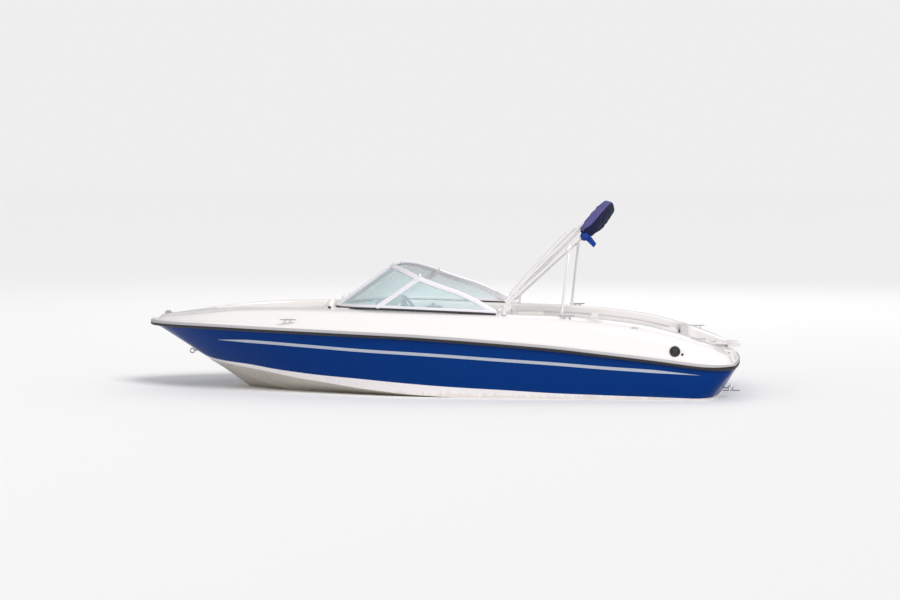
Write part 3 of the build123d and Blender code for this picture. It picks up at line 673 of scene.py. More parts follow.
def brush_lines(group: Tree, start: Node) -> Socket:
    """Fine lines of drawn or anodised metal."""
    long = add_node(group, "Mapping", Vector=start.outputs["Vector"], Scale=(1.0, 1.0, 12.0))
    lines = add_node(group, "TexNoise", Vector=long.outputs[0], Scale=start.outputs["Scale"], Detail=3.0)
    return lines.outputs["Fac"]


class Relief(Enum):
    """How a finish feels, with the function that makes it."""

    GLOSS = "orange_peel"
    NONSKID = "pebbles"
    HIDE = "hide_grain"
    CANVAS = "canvas"
    METAL = "brush_lines"


MAKERS = {Relief.GLOSS: orange_peel, Relief.NONSKID: pebbles, Relief.HIDE: hide_grain,
    Relief.CANVAS: canvas, Relief.METAL: brush_lines}
GROUPS = {relief: height_group(relief.value, maker) for relief, maker in MAKERS.items()}
DRIFT = drift_group()
STAIN = stain_group()


@dataclass(frozen=True)
class Finish:
    """One surface finish of the boat.

    Its constant values sit on the shader's own sockets. What changes over the surface comes from the groups.
    """

    name: str
    slot: str
    colour: Colour
    other: Colour
    roughness: float = 0.4
    metallic: float = 0.0
    coat: float = 0.0
    sheen: float = 0.0
    transmission: float = 0.0
    level: float = 0.5
    relief: Relief = Relief.GLOSS
    scale: float = 60.0
    depth: float = 0.0004
    strength: float = 0.15
    drift: float = 0.5
    drift_scale: float = 2.5
    uneven: float = 0.08
    stain: float = 0.0

    def build(self) -> bpy.types.Material:
        """Make the material, once.

        Returns:
            The material.
        """
        found = bpy.data.materials.get(self.name)
        if found:
            return found
        material = bpy.data.materials.new(self.name)
        material.use_nodes = True
        tree = material.node_tree
        shader = tree.nodes["Principled BSDF"]
        where = add_node(tree, "TexCoord").outputs["Object"]
        drift = add_node(tree, "Group", {"node_tree": DRIFT}, Vector=where, Colour=(*self.colour, 1),
            Other=(*self.other, 1), Scale=self.drift_scale, Amount=self.drift)
        colour = drift.outputs["Colour"]
        if self.stain:
            stain = add_node(tree, "Group", {"node_tree": STAIN}, Vector=where, Colour=colour,
                Amount=self.stain)
            colour = stain.outputs["Colour"]
        tree.links.new(colour, shader.inputs["Base Color"])
        rough = add_node(tree, "MapRange", Value=drift.outputs["Mask"], To_Min=self.roughness,
            To_Max=min(1.0, self.roughness + self.uneven))
        tree.links.new(rough.outputs[0], shader.inputs["Roughness"])
        relief = add_node(tree, "Group", {"node_tree": GROUPS[self.relief]}, Vector=where, Scale=self.scale)
        bump = add_node(tree, "Bump", Height=relief.outputs["Height"], Strength=self.strength,
            Distance=self.depth)
        tree.links.new(bump.outputs[0], shader.inputs["Normal"])
        for socket, value in {"Metallic": self.metallic, "Coat Weight": self.coat, "Coat Roughness": 0.06,
                "Sheen Weight": self.sheen, "Transmission Weight": self.transmission,
                "Specular IOR Level": self.level}.items():
            shader.inputs[socket].default_value = value
        return material


CANVAS = {"level": 0.2, "relief": Relief.CANVAS, "scale": 700, "depth": 0.0005, "strength": 0.5}
MOULDED = {"relief": Relief.HIDE, "scale": 500}
WHITE = Finish("white_gelcoat", "gelcoat_white", (0.86, 0.835, 0.83), (0.82, 0.79, 0.775), 0.2, coat=0.4,
    drift=0.35)
SIDE_WHITE = Finish("white_gelcoat_low", "gelcoat_white", (0.9, 0.86, 0.86), (0.83, 0.78, 0.76), 0.24,
    coat=0.3, stain=0.35)
BOTTOM = Finish("bottom_gelcoat", "gelcoat_white", (0.6, 0.57, 0.51), (0.46, 0.42, 0.36), 0.42, drift=0.8,
    drift_scale=4, stain=0.65)
BLUE = Finish("blue_gelcoat", "gelcoat_blue", (0.0008, 0.031, 0.18), (0.0012, 0.036, 0.2), 0.2, level=0.06,
    scale=25, stain=0.06)
STRIPE = Finish("silver_tape", "frame_aluminium", (0.5, 0.54, 0.62), (0.43, 0.47, 0.54), 0.35, metallic=0.5)
RUBBER = Finish("rail_vinyl", "rubber_black", (0.01, 0.01, 0.013), (0.022, 0.022, 0.026), 0.5, drift=0.7,
    scale=300)
# Grey that stands for light and shade: painted highlight on the rub rail's top, painted shade in the air
# slots.
PAINTED_LIGHT_GREY = Finish("painted_light_grey", "plastic_grey", (0.5, 0.49, 0.5), (0.4, 0.39, 0.4), 0.42, metallic=0.2,
    scale=300)
ALLOY = Finish("frame_alloy", "frame_aluminium", (0.9, 0.88, 0.93), (0.83, 0.81, 0.86), 0.36, metallic=0.3,
    relief=Relief.METAL, scale=180, strength=0.06)
TUBE = Finish("tube_alloy", "frame_aluminium", (0.88, 0.86, 0.86), (0.8, 0.78, 0.78), 0.28, metallic=0.35,
    relief=Relief.METAL, scale=180, strength=0.04)
CHROME = Finish("chrome", "chrome", (0.82, 0.82, 0.83), (0.72, 0.73, 0.75), 0.1, metallic=1.0,
    relief=Relief.METAL, scale=120, strength=0.03)
STEEL = Finish("stainless", "stainless", (0.66, 0.67, 0.69), (0.58, 0.58, 0.6), 0.22, metallic=1.0,
    relief=Relief.METAL, scale=160, strength=0.05)
GLASS = Finish("tinted_glass", "tinted_glass", (0.875, 0.88, 0.945), (0.865, 0.87, 0.935), 0.015,
    transmission=1.0, uneven=0.01, strength=0.01)
BLACK = Finish("black_plastic", "plastic_black", (0.022, 0.022, 0.024), (0.04, 0.04, 0.042), 0.42,
    **MOULDED)
GREY = Finish("grey_plastic", "plastic_grey", (0.25, 0.26, 0.28), (0.2, 0.21, 0.22), 0.45, **MOULDED)
NONSKID = Finish("nonskid", "gelcoat_white", (0.74, 0.725, 0.7), (0.66, 0.64, 0.61), 0.5,
    relief=Relief.NONSKID, scale=120, depth=0.0012, strength=0.6, drift=0.6)
VINYL = Finish("seat_vinyl", "seat_vinyl", (0.8, 0.785, 0.75), (0.72, 0.7, 0.65), 0.46, relief=Relief.HIDE,
    scale=420, depth=0.0006, strength=0.3, sheen=0.1)
NAVY = Finish("navy_canvas", "boot_fabric", (0.0065, 0.009, 0.036), (0.01, 0.014, 0.05), 0.8, **CANVAS,
    drift=0.8, drift_scale=9)
# Lighter copy of the navy canvas for the cover's side that faces the light: painted light.
PAINTED_LIGHT_CANVAS = Finish("canvas_painted_light", "boot_fabric", (0.09, 0.08, 0.25), (0.115, 0.105, 0.29), 0.8, **CANVAS,
    drift=0.8, drift_scale=9)
ROYAL = Finish("royal_canvas", "boot_fabric", (0.012, 0.045, 0.27), (0.018, 0.06, 0.31), 0.8, **CANVAS)
DRIVE = Finish("drive_paint", "drive_paint", (0.035, 0.037, 0.042), (0.05, 0.052, 0.056), 0.38, coat=0.2,
    scale=200)
ENGINE = Finish("engine_paint", "engine_paint", (0.05, 0.052, 0.056), (0.08, 0.08, 0.085), 0.5, scale=200,
    drift=0.8)
DIAL = Finish("dial_face", "gelcoat_white", (0.7, 0.7, 0.68), (0.66, 0.66, 0.64), 0.4)
CARPET = Finish("snap_carpet", "boot_fabric", (0.16, 0.17, 0.19), (0.23, 0.24, 0.26), 0.95,
    relief=Relief.HIDE, scale=260, depth=0.004, strength=0.8, drift=0.9, drift_scale=12, sheen=0.4)
RED = Finish("red_plastic", "plastic_black", (0.45, 0.012, 0.01), (0.4, 0.012, 0.01), 0.25)
GREEN = Finish("green_plastic", "plastic_black", (0.01, 0.28, 0.06), (0.01, 0.25, 0.05), 0.25)


def piece(obj: Shape | list[Shape], name: str, finishes: Finish | Sequence[Finish],
        stands_for: Sequence[str] = (), angle: float = 38, body: str = "boat") -> Shape:
    """Finish a piece: name, shading, material, body and the CAD nodes that it stands for.

    Args:
        obj: The piece, or a list of its parts.
        name: Its name.
        finishes: Its finish, or one for each of its material slots.
        stands_for: CAD nodes it replaces.
        angle: Edges sharper than this stay sharp.
        body: The body it rides on.

    Returns:
        The piece.
    """
    obj = join(obj) if isinstance(obj, list) else obj
    obj.name = name
    obj.data.name = name
    several = [finishes] if isinstance(finishes, Finish) else list(finishes)
    indices = [polygon.material_index for polygon in obj.data.polygons]
    obj.data.materials.clear()
    for finish in several:
        obj.data.materials.append(finish.build())
    for polygon, index in zip(obj.data.polygons, indices):
        polygon.material_index = min(index, len(several) - 1)
    smooth(obj, angle)
    clear()
    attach(obj, body)
    if stands_for:
        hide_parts(*stands_for)
    log.info("%s rides on %s", name, body)
    return obj


def paint(obj: Shape, index: int, where: Callable[[Vector], bool] | None = None) -> Shape:
    """Give the faces whose middle passes a test another material slot."""
    for polygon in obj.data.polygons:
        if where is None or where(polygon.center):
            polygon.material_index = index
    return obj


BOW_X = 2.645
# z, stern at the middle, arch towards the sides
STERN = [(-0.45, -2.332, 0.13), (0.0, -2.515, 0.14), (0.15, -2.606, 0.11), (0.27, -2.66, 0.075),
    (0.5, -2.66, 0.075)]
STERN_CORNER = 0.15

SHEER_Z = mm((-2700, 285), (-2480, 286), (-2360, 292), (-2150, 317), (-1940, 345), (-1520, 394),
    (-1090, 442), (-670, 477), (-240, 508), (194, 533), (633, 549), (1350, 570), (2100, 584), (2645, 585))
# x, half breadth and height of the chine's outer knuckle
CHINE = mm((-2750, 936, -60), (-1200, 925, -35), (0, 877, 11), (218, 855, 24), (441, 825, 45),
    (667, 780, 69), (961, 711, 108), (1186, 644, 134), (1416, 556, 168), (1652, 456, 202), (1800, 375, 219),
    (1950, 262, 235), (2050, 160, 245), (2100, 75, 249), (2120, 0, 250))
KEEL_Z = mm((-2750, -386), (0, -315), (400, -300), (800, -275), (1200, -220), (1500, -130), (1752, 0),
    (1863, 77), (1983, 159), (2085, 222), (2120, 250))
COLOUR_Z = mm((-2750, 12), (-2370, 17), (-1940, 29), (-1500, 41), (-1090, 53), (-660, 74), (-220, 93),
    (218, 120), (667, 152), (961, 169), (1186, 187), (1416, 208), (1650, 238), (2000, 264), (2210, 305))
STRIPE_Z = mm((-2320, 223), (-1942, 253), (-1518, 280), (-1093, 311), (-665, 337), (-17, 377), (638, 408),
    (1031, 431), (1466, 453), (1689, 460), (1930, 461))
# x; inset and height of the knuckle, the round and the crest; crown of the top
DECK = mm((-2700, 20, 335, 34, 362, 60, 385, 3), (-2600, 24, 348, 40, 380, 75, 402, 4),
    (-2400, 30, 400, 58, 447, 135, 475, 6), (-2150, 34, 462, 63, 522, 160, 558, 8),
    (-1750, 43, 545, 73, 605, 178, 648, 10), (-1200, 46, 595, 80, 663, 187, 702, 10),
    (-700, 48, 625, 83, 690, 193, 718, 10), (350, 49, 665, 84, 718, 204, 740, 12), (1200, 53, 680, 93, 733,
    213, 753, 14), (1750, 54, 675, 89, 720, 194, 737, 18), (2150, 48, 655, 83, 681, 168, 692, 14),
    (2420, 46, 632, 76, 652, 141, 664, 6), (2580, 36, 614, 56, 630, 96, 640, 5), (2645, 20, 600, 30, 609,
    48, 616, 2))


def half_breadth(x: float) -> float:
    """Half breadth of the hull at the sheer."""
    if x > -0.335:
        return 1.055 * max(0.0, 1 - (1 - (BOW_X - x) / 3) ** 2) ** 0.55
    return 1.055 * math.sqrt(1 - ((x + 0.335) / 6.35) ** 2)


def stern_x(y: float, z: float) -> float:
    """The stern surface, arched in plan and raked below the sheer."""
    return along(STERN, z) + along(STERN, z, 2) * y * y


def round_stern(side: Sequence[Vector], corner: float, end_y: float, steps: int = 9,
        across: int = 9) -> list[Vector]:
    """Carry a line of the port side round the stern corner and across the stern.

    Args:
        side: Points from the bow to where the corner starts.
        corner: Radius of the corner.
        end_y: Where the line ends on the stern.
        steps: Steps round the corner.
        across: Steps across the stern.

    Returns:
        The whole line.
    """
    start = side[-1]
    corner = min(corner, 0.6 * start.y)
    inner = max(start.y - corner, 0.0)
    at = Vector((stern_x(start.y, start.z), start.y, start.z))
    end = Vector((stern_x(inner, start.z), inner, start.z))
    line = list(side)
    for k in range(1, steps + 1):
        t = k / steps
        one, two = start.lerp(at, 0.56), end.lerp(at, 0.56)
        line.append(start * (1 - t) ** 3 + one * 3 * t * (1 - t) ** 2 + two * 3 * t * t * (1 - t) + end
            * t ** 3)
    for k in range(1, across + 1):
        y = inner + (end_y - inner) * k / across
        line.append(Vector((stern_x(y, start.z), y, start.z)))
    return line


def bow_steps(count: int) -> list[float]:
    """Shares of the way from the bow to the stern, closer together at the bow."""
    return [(k / count) ** 1.7 for k in range(count + 1)]


@dataclass
class Hull:
    """The hull's shell, its bands of colour, its stripes and the rail round its edge."""

    columns: int = 84
    wall: float = 0.01
    bulge: float = 0.01
    stripe_width: float = 0.027
    upper_rows: tuple[float, ...] = (1.0, 0.86, 0.72, 0.58, 0.44, 0.3, 0.16, 0.0)
    strakes: tuple[float, ...] = (0.34, 0.66)
    rail_out: float = 0.02

    def sheer_side(self) -> list[Vector]:
        """The sheer from the bow to the stern corner."""
        end = stern_x(half_breadth(-2.5), 0.29) + STERN_CORNER
        xs = [BOW_X + (end - BOW_X) * t for t in bow_steps(self.columns)]
        return [Vector((x, half_breadth(x), along(SHEER_Z, x))) for x in xs]

    def chine_side(self) -> list[Vector]:
        """The chine from the stem to the stern corner, abreast of the sheer's points aft."""
        start, end = CHINE[-1][0], stern_x(0.93, -0.055) + STERN_CORNER
        line = []
        for point in self.sheer_side():
            s = BOW_X - point.x
            lag = (BOW_X - start) * max(0.0, 1 - s / 3) ** 2
            x = max(end, point.x - lag) if s < 5.0 else point.x
            line.append(x)
        last = line[-1]
        return [Vector((x + (end - last) * k / self.columns, 0, 0)) for k, x in enumerate(line)]

    def side_rows(self) -> tuple[list[list[Vector]], list[int]]:
        """Rows of the shell from the sheer to the keel, and a colour for each strip between them.

        Returns:
            The rows, and the colours: 0 blue, 1 white, 2 bottom.
        """
        sheer = self.sheer_side()
        chine = [Vector((p.x, along(CHINE, p.x), along(CHINE, p.x, 2))) for p in self.chine_side()]
        chine[0] = Vector((CHINE[-1][0], 0, CHINE[-1][2]))
        line_share = []
        for low, high in zip(chine, sheer):
            share = 0.1
            for _ in range(12):
                x = low.x + (high.x - low.x) * share
                share = (along(COLOUR_Z, x) - low.z) / (high.z - low.z)
            line_share.append(share)
        rows, colours = [], []
        for step in self.upper_rows:
            rows.append([self.on_side(low, high, share + (1 - share) * step) for low, high,
                share in zip(chine, sheer, line_share)])
            colours.append(0)
        colours[-1] = 1
        rows.append([self.on_side(low, high, share * 0.5) for low, high, share in zip(chine, sheer,
            line_share)])
        colours.append(1)
        rows.append(chine)
        colours.append(2)
        inner = [Vector((p.x, p.y * 0.915, p.z - 0.024 * min(1.0, p.y / 0.3))) for p in chine]
        keel = [Vector((p.x, 0, along(KEEL_Z, p.x))) for p in chine]
        rows.append(inner)
        colours.append(2)
        edges = []
        for share in self.strakes:
            edges += [(share - 0.04, 0.0), (share, 0.018), (share + 0.012, 0.0)]
        for share, drop in sorted([*edges, (0.17, 0.0), (0.5, 0.0), (0.83, 0.0), (1.0, 0.0)]):
            row = []
            for a, b in zip(inner, keel):
                point = a.lerp(b, share)
                point.z -= drop * share_of((a.y - 0.25) / 0.3)
                row.append(point)
            rows.append(row)
            colours.append(2)
        return rows, colours

    def on_side(self, low: Vector, high: Vector, share: float) -> Vector:
        """A point of the side between chine and sheer, with the side's slight fullness."""
        point = low.lerp(high, share)
        point.y += self.bulge * math.sin(math.pi * share) * min(1.0, high.y / 0.6)
        return point

    def build(self) -> None:
        """Build and dress the shell, the stripes and the rail."""
        rows, colours = self.side_rows()
        full = [round_stern(row, STERN_CORNER, 0.0) for row in rows]
        shell = skin(full)
        width = len(full[0]) - 1
        for k, polygon in enumerate(shell.data.polygons):
            polygon.material_index = colours[k // width]
        modify(shell, "MIRROR", use_axis=(False, True, False), merge_threshold=2e-4)
        outward(shell, 1e-4)
        modify(shell, "SOLIDIFY", thickness=self.wall, offset=-1, use_even_offset=False)
        piece(shell, "hull_shell", (BLUE, SIDE_WHITE, BOTTOM), ["hull"], angle=24)
        self.stripes(shell)
        self.rail()

    def stripes(self, shell: Shape) -> None:
        """Silver tape along each side, laid on the shell."""
        rings = []
        count = 160
        first, last = STRIPE_Z[-1][0], STRIPE_Z[0][0]
        for k in range(count + 1):
            x = first + (last - first) * k / count
            width = self.stripe_width * min(1.0, 0.04 + (first - x) / 0.3) * min(1.0, 0.04 + (x - last)
                / 0.4)
            middle = along(STRIPE_Z, x)
            rings.append([(x, half_breadth(x) + 0.05, middle + width * share) for share in (-0.5, -0.17,
                0.17, 0.5)])
        tape = skin(rings)
        modify(tape, "SHRINKWRAP", target=shell, wrap_method="PROJECT", use_project_y=True,
            use_project_z=False, use_negative_direction=True, use_positive_direction=False, offset=0.0006)
        outward(tape, 1e-6)
        modify(tape, "SOLIDIFY", thickness=0.0009, offset=1)
        other = mirrored(tape)
        for obj, hand in ((tape, "port"), (other, "starboard")):
            piece(obj, f"hull_stripe_{hand}", STRIPE)

    def rail(self) -> None:
        """Rub rail round the sheer and the stern: a black vinyl channel under a grey top, a painted
        highlight.
        """
        half = round_stern(self.sheer_side(), STERN_CORNER, 0.0)
        other = [Vector((p.x, -p.y, p.z)) for p in reversed(half[1:-1])]
        line = half + other
        normals = []
        for i in range(len(line)):
            run = line[(i + 1) % len(line)] - line[i - 1]
            normals.append(Vector((run.y, -run.x, 0)).normalized())
        out = self.rail_out
        low = [(-0.004, -0.026), (out * 0.45, -0.0255), (out * 0.85, -0.02), (out * 0.98, -0.012),
            (out * 0.98, -0.003), (out * 0.8, 0.001), (-0.004, 0.001)]
        high = [(-0.004, 0.0), (out * 0.9, 0.0), (out, 0.003), (out, 0.011), (out * 0.88, 0.018),
            (out * 0.5, 0.0235), (-0.004, 0.0235)]
        for name, section, finish in (("rub_rail_channel", low, RUBBER), ("rub_rail_cap", high, PAINTED_LIGHT_GREY)):
            rings = []
            for p, n in zip(line, normals):
                # The grey top thins towards the stern, painted shade there.
                stern = share_of((-2.35 - p.x) / 0.3) if finish is PAINTED_LIGHT_GREY else 0.0
                rings.append([p + n * a + Vector((0, 0, b + 0.01 * stern * (b < 0.012))) for a,
                    b in section])
            obj = outward(skin([*rings, rings[0]], closed=True))
            stands = ["rub_rail"] if finish is RUBBER else []
            piece(obj, name, finish, stands, angle=30)


@dataclass
class Deck:
    """The deck moulding: outer skin, top, coaming roll, swim platform and their anti-slip panels."""

    arm_y: float = 0.67
    arm_round: float = 0.03
    step_y: float = 0.64
    step_x: float = -2.23
    platform_z: float = 0.345
    roll: float = 0.02
    lap: float = 0.006
    skin_rows: int = 16
    opening: tuple[Flat, ...] = mm((-2160, 0), (-2160, 690), (-1300, 760), (300, 730), (950, 600),
        (950, 260), (1000, 260), (1000, 620), (1500, 520), (1900, 340), (2080, 150), (2080, 0))
    opening_radii: tuple[float, ...] = (0.09, 1.6, 1.6, 0.05, 0.02, 0.02, 0.05, 0.6, 0.5, 0.1)

    def top(self, x: float, y: float) -> float:
        """Height of the deck's top."""
        inset, crest, crown = (along(DECK, x, c) for c in (5, 6, 7))
        edge = max(half_breadth(min(x, BOW_X - 1e-4)) - inset, 0.02)
        return crest + crown * (1 - min(1.0, abs(y) / edge) ** 2)

    def path(self) -> list[tuple[Vector, Vector, float]]:
        """The skin's plan line, from the bow round the stern and the platform's recess to the middle.

        Returns:
            For each column its point, the direction out of the moulding, and 1 where it is a recess wall.
        """
        side = round_stern(Hull().sheer_side(), STERN_CORNER, self.arm_y, across=4)
        corner_x = side[-1].x + self.arm_round
        turn = [(corner_x - self.arm_round * math.cos(a), self.arm_y - self.arm_round * math.sin(a))
            for a in (math.radians(15 * k) for k in range(1, 7))]
        wall = rounded([(corner_x, self.step_y), (self.step_x, self.step_y), (self.step_x, 0)], [0.07], 8)
        first = Vector(wall[0])
        start = Vector(wall[1])
        run = [tuple(first.lerp(start, k / 8)) for k in range(1, 8)]
        end = Vector(wall[-1])
        near = Vector(wall[-2])
        back = [tuple(near.lerp(end, k / 8)) for k in range(1, 9)]
        plan = [(p.x, p.y) for p in side] + turn + run + wall[1:-1] + back
        normals = normals_of(plan)
        normals[0] = Vector((1, 0))
        normals[-1] = Vector((-1, 0))
        columns = []
        for k, (point, normal) in enumerate(zip(plan, normals)):
            weight = share_of((k - len(side) + 1) / 6)
            columns.append((Vector((*point, 0)), Vector((*normal, 0)), weight))
        return columns

    def column(self, base: Vector, out: Vector, recess: float) -> list[Vector]:
        """Points of the skin at one column, from its lower edge to the crest."""
        edge = along(SHEER_Z, base.x)
        knuckle_in, knuckle_z, round_in, round_z, crest_in, crest_z = (along(DECK, base.x, c)
            for c in range(1, 7))
        skin_line = [(-0.004, edge + 0.01), (-0.006, edge + 0.022), (-0.001, edge + 0.036),
            (knuckle_in * 0.45, edge + (knuckle_z - edge) * 0.55), (knuckle_in, knuckle_z),
            (round_in, round_z), ((round_in + crest_in) / 2, (round_z + crest_z * 2) / 3),
            (crest_in, crest_z)]
        top = self.top(base.x, base.y)
        level = self.platform_z
        wall_line = [(0, level - 0.012), (0, level), (0, level + 0.01), (0, (level + top) / 2),
            (0, top - 0.03), (0.003, top - 0.012), (0.01, top - 0.003), (0.022, top)]
        controls = [Vector((a[0] + (b[0] - a[0]) * recess, a[1] + (b[1] - a[1]) * recess, 0)) for a,
            b in zip(skin_line, wall_line)]
        return [base - out * p.x + Vector((0, 0, p.y)) for p in flowing(controls, self.skin_rows)]

    def inner_line(self) -> tuple[list[Flat], list[Vector]]:
        """The cockpit opening's wall line and the directions into the moulding."""
        wall = rounded(self.opening, self.opening_radii, 8)
        dense = [wall[0]]
        for a, b in zip(wall, wall[1:]):
            pieces_in = max(1, int((Vector(b) - Vector(a)).length / 0.06))
            dense += [tuple(Vector(a).lerp(Vector(b), k / pieces_in)) for k in range(1, pieces_in + 1)]
        normals = [-n for n in normals_of(dense)]
        normals[0], normals[-1] = Vector((-1, 0)), Vector((1, 0))
        line = [tuple(Vector(p) - n * self.lap) for p, n in zip(dense, normals)]
        return line, normals

    def build(self) -> None:
        """Build and dress the moulding and what is laid on it."""
        columns = [self.column(*c) for c in self.path()]
        crest = [c[-1] for c in columns]
        crest[0].y = 0
        wall, into = self.inner_line()
        lip_top = [Vector(p) + n * self.roll for p, n in zip(wall, into)]
        outline = [(p.x, p.y) for p in crest] + [tuple(p) for p in lip_top]
        shut = int((crest[0].x - lip_top[-1].x) / 0.05)
        closing = [tuple(lip_top[-1].lerp(Vector((crest[0].x, 0)), k / shut)) for k in range(1, shut)]
        outline += closing
        points, faces = filled(outline, 0.045, 0.016)
        heights = {i: p.z for i, p in enumerate(crest)}
        vertices = [(x, y, heights.get(i, self.top(x, y))) for i, (x, y) in enumerate(points)]
        top = mesh_of(vertices, faces)
        outer = skin([list(row) for row in zip(*columns)])
        rows = []
        for angle in (0, 18, 36, 54, 72, 90):
            a = math.radians(angle)
            rows.append([(*(Vector(p) + n * self.roll * (1 - math.sin(a))),
                self.top(*(Vector(p) + n * self.roll)) - self.roll * (1 - math.cos(a))) for p,
                n in zip(wall, into)])
        rows.append([(x, y, z - 0.045) for x, y, z in rows[-1]])
        lip = skin(rows)
        moulding = join([top, outer, lip])
        modify(moulding, "MIRROR", use_axis=(False, True, False), merge_threshold=4e-4)
        outward(moulding, 2e-4)
        modify(moulding, "SOLIDIFY", thickness=0.005, offset=-1, use_even_offset=False)
        piece(moulding, "deck_moulding", WHITE, ["deck"], angle=50)
        self.platform()

    def platform(self) -> None:
        """Swim platform between the stern's arms, with a non-skid panel."""
        rings = []
        for k in range(29):
            y = -0.66 + 1.32 * k / 28
            edge = Vector((stern_x(y, 0.3), y, 0))
            low = along(SHEER_Z, edge.x)
            column = [(0.004, low + 0.008), (0.006, low + 0.02), (0.001, low + 0.032),
                (-0.006, self.platform_z - 0.014), (-0.012, self.platform_z - 0.006),
                (-0.024, self.platform_z)]
            ring_points = [(edge.x - out, y, z) for out, z in column]
            ring_points += [(self.step_x - 0.02, y, self.platform_z), (self.step_x + 0.004, y,
                self.platform_z)]
            ring_points += [(self.step_x + 0.004, y, low + 0.008)]
            rings.append(ring_points)
        slab = tube(rings)
        piece(slab, "swim_platform", WHITE, angle=40)
        outline = [(stern_x(0.59, 0.3) + 0.07, -0.59), (stern_x(0.3, 0.3) + 0.07, -0.3),
            (stern_x(0, 0.3) + 0.07, 0), (stern_x(0.3, 0.3) + 0.07, 0.3), (stern_x(0.59, 0.3) + 0.07, 0.59),
            (-2.29, 0.59), (-2.29, -0.59)]
        panel = self.anti_slip(outline, self.platform_z)
        piece(panel, "platform_nonskid", NONSKID)

    @staticmethod
    def anti_slip(outline: Sequence[Flat], level: float, thick: float = 0.003) -> Shape:
        """A raised panel over a plan outline."""
        obj = mesh_of([(x, y, level - 0.002) for x, y in outline], [tuple(range(len(outline)))])
        modify(obj, "SOLIDIFY", thickness=thick + 0.002, offset=1)
        outward(obj)
        high = span_of(obj, 2)[1]
        if high < level:
            moved(obj, Matrix.Translation((0, 0, level + thick - high)))
        bevelled(obj, 0.0015, 2)
        return obj


def span_of(obj: Shape, axis: int) -> tuple[float, float]:
    """Lowest and highest value of a mesh along an axis."""
    values = [v.co[axis] for v in obj.data.vertices]
    return min(values), max(values)


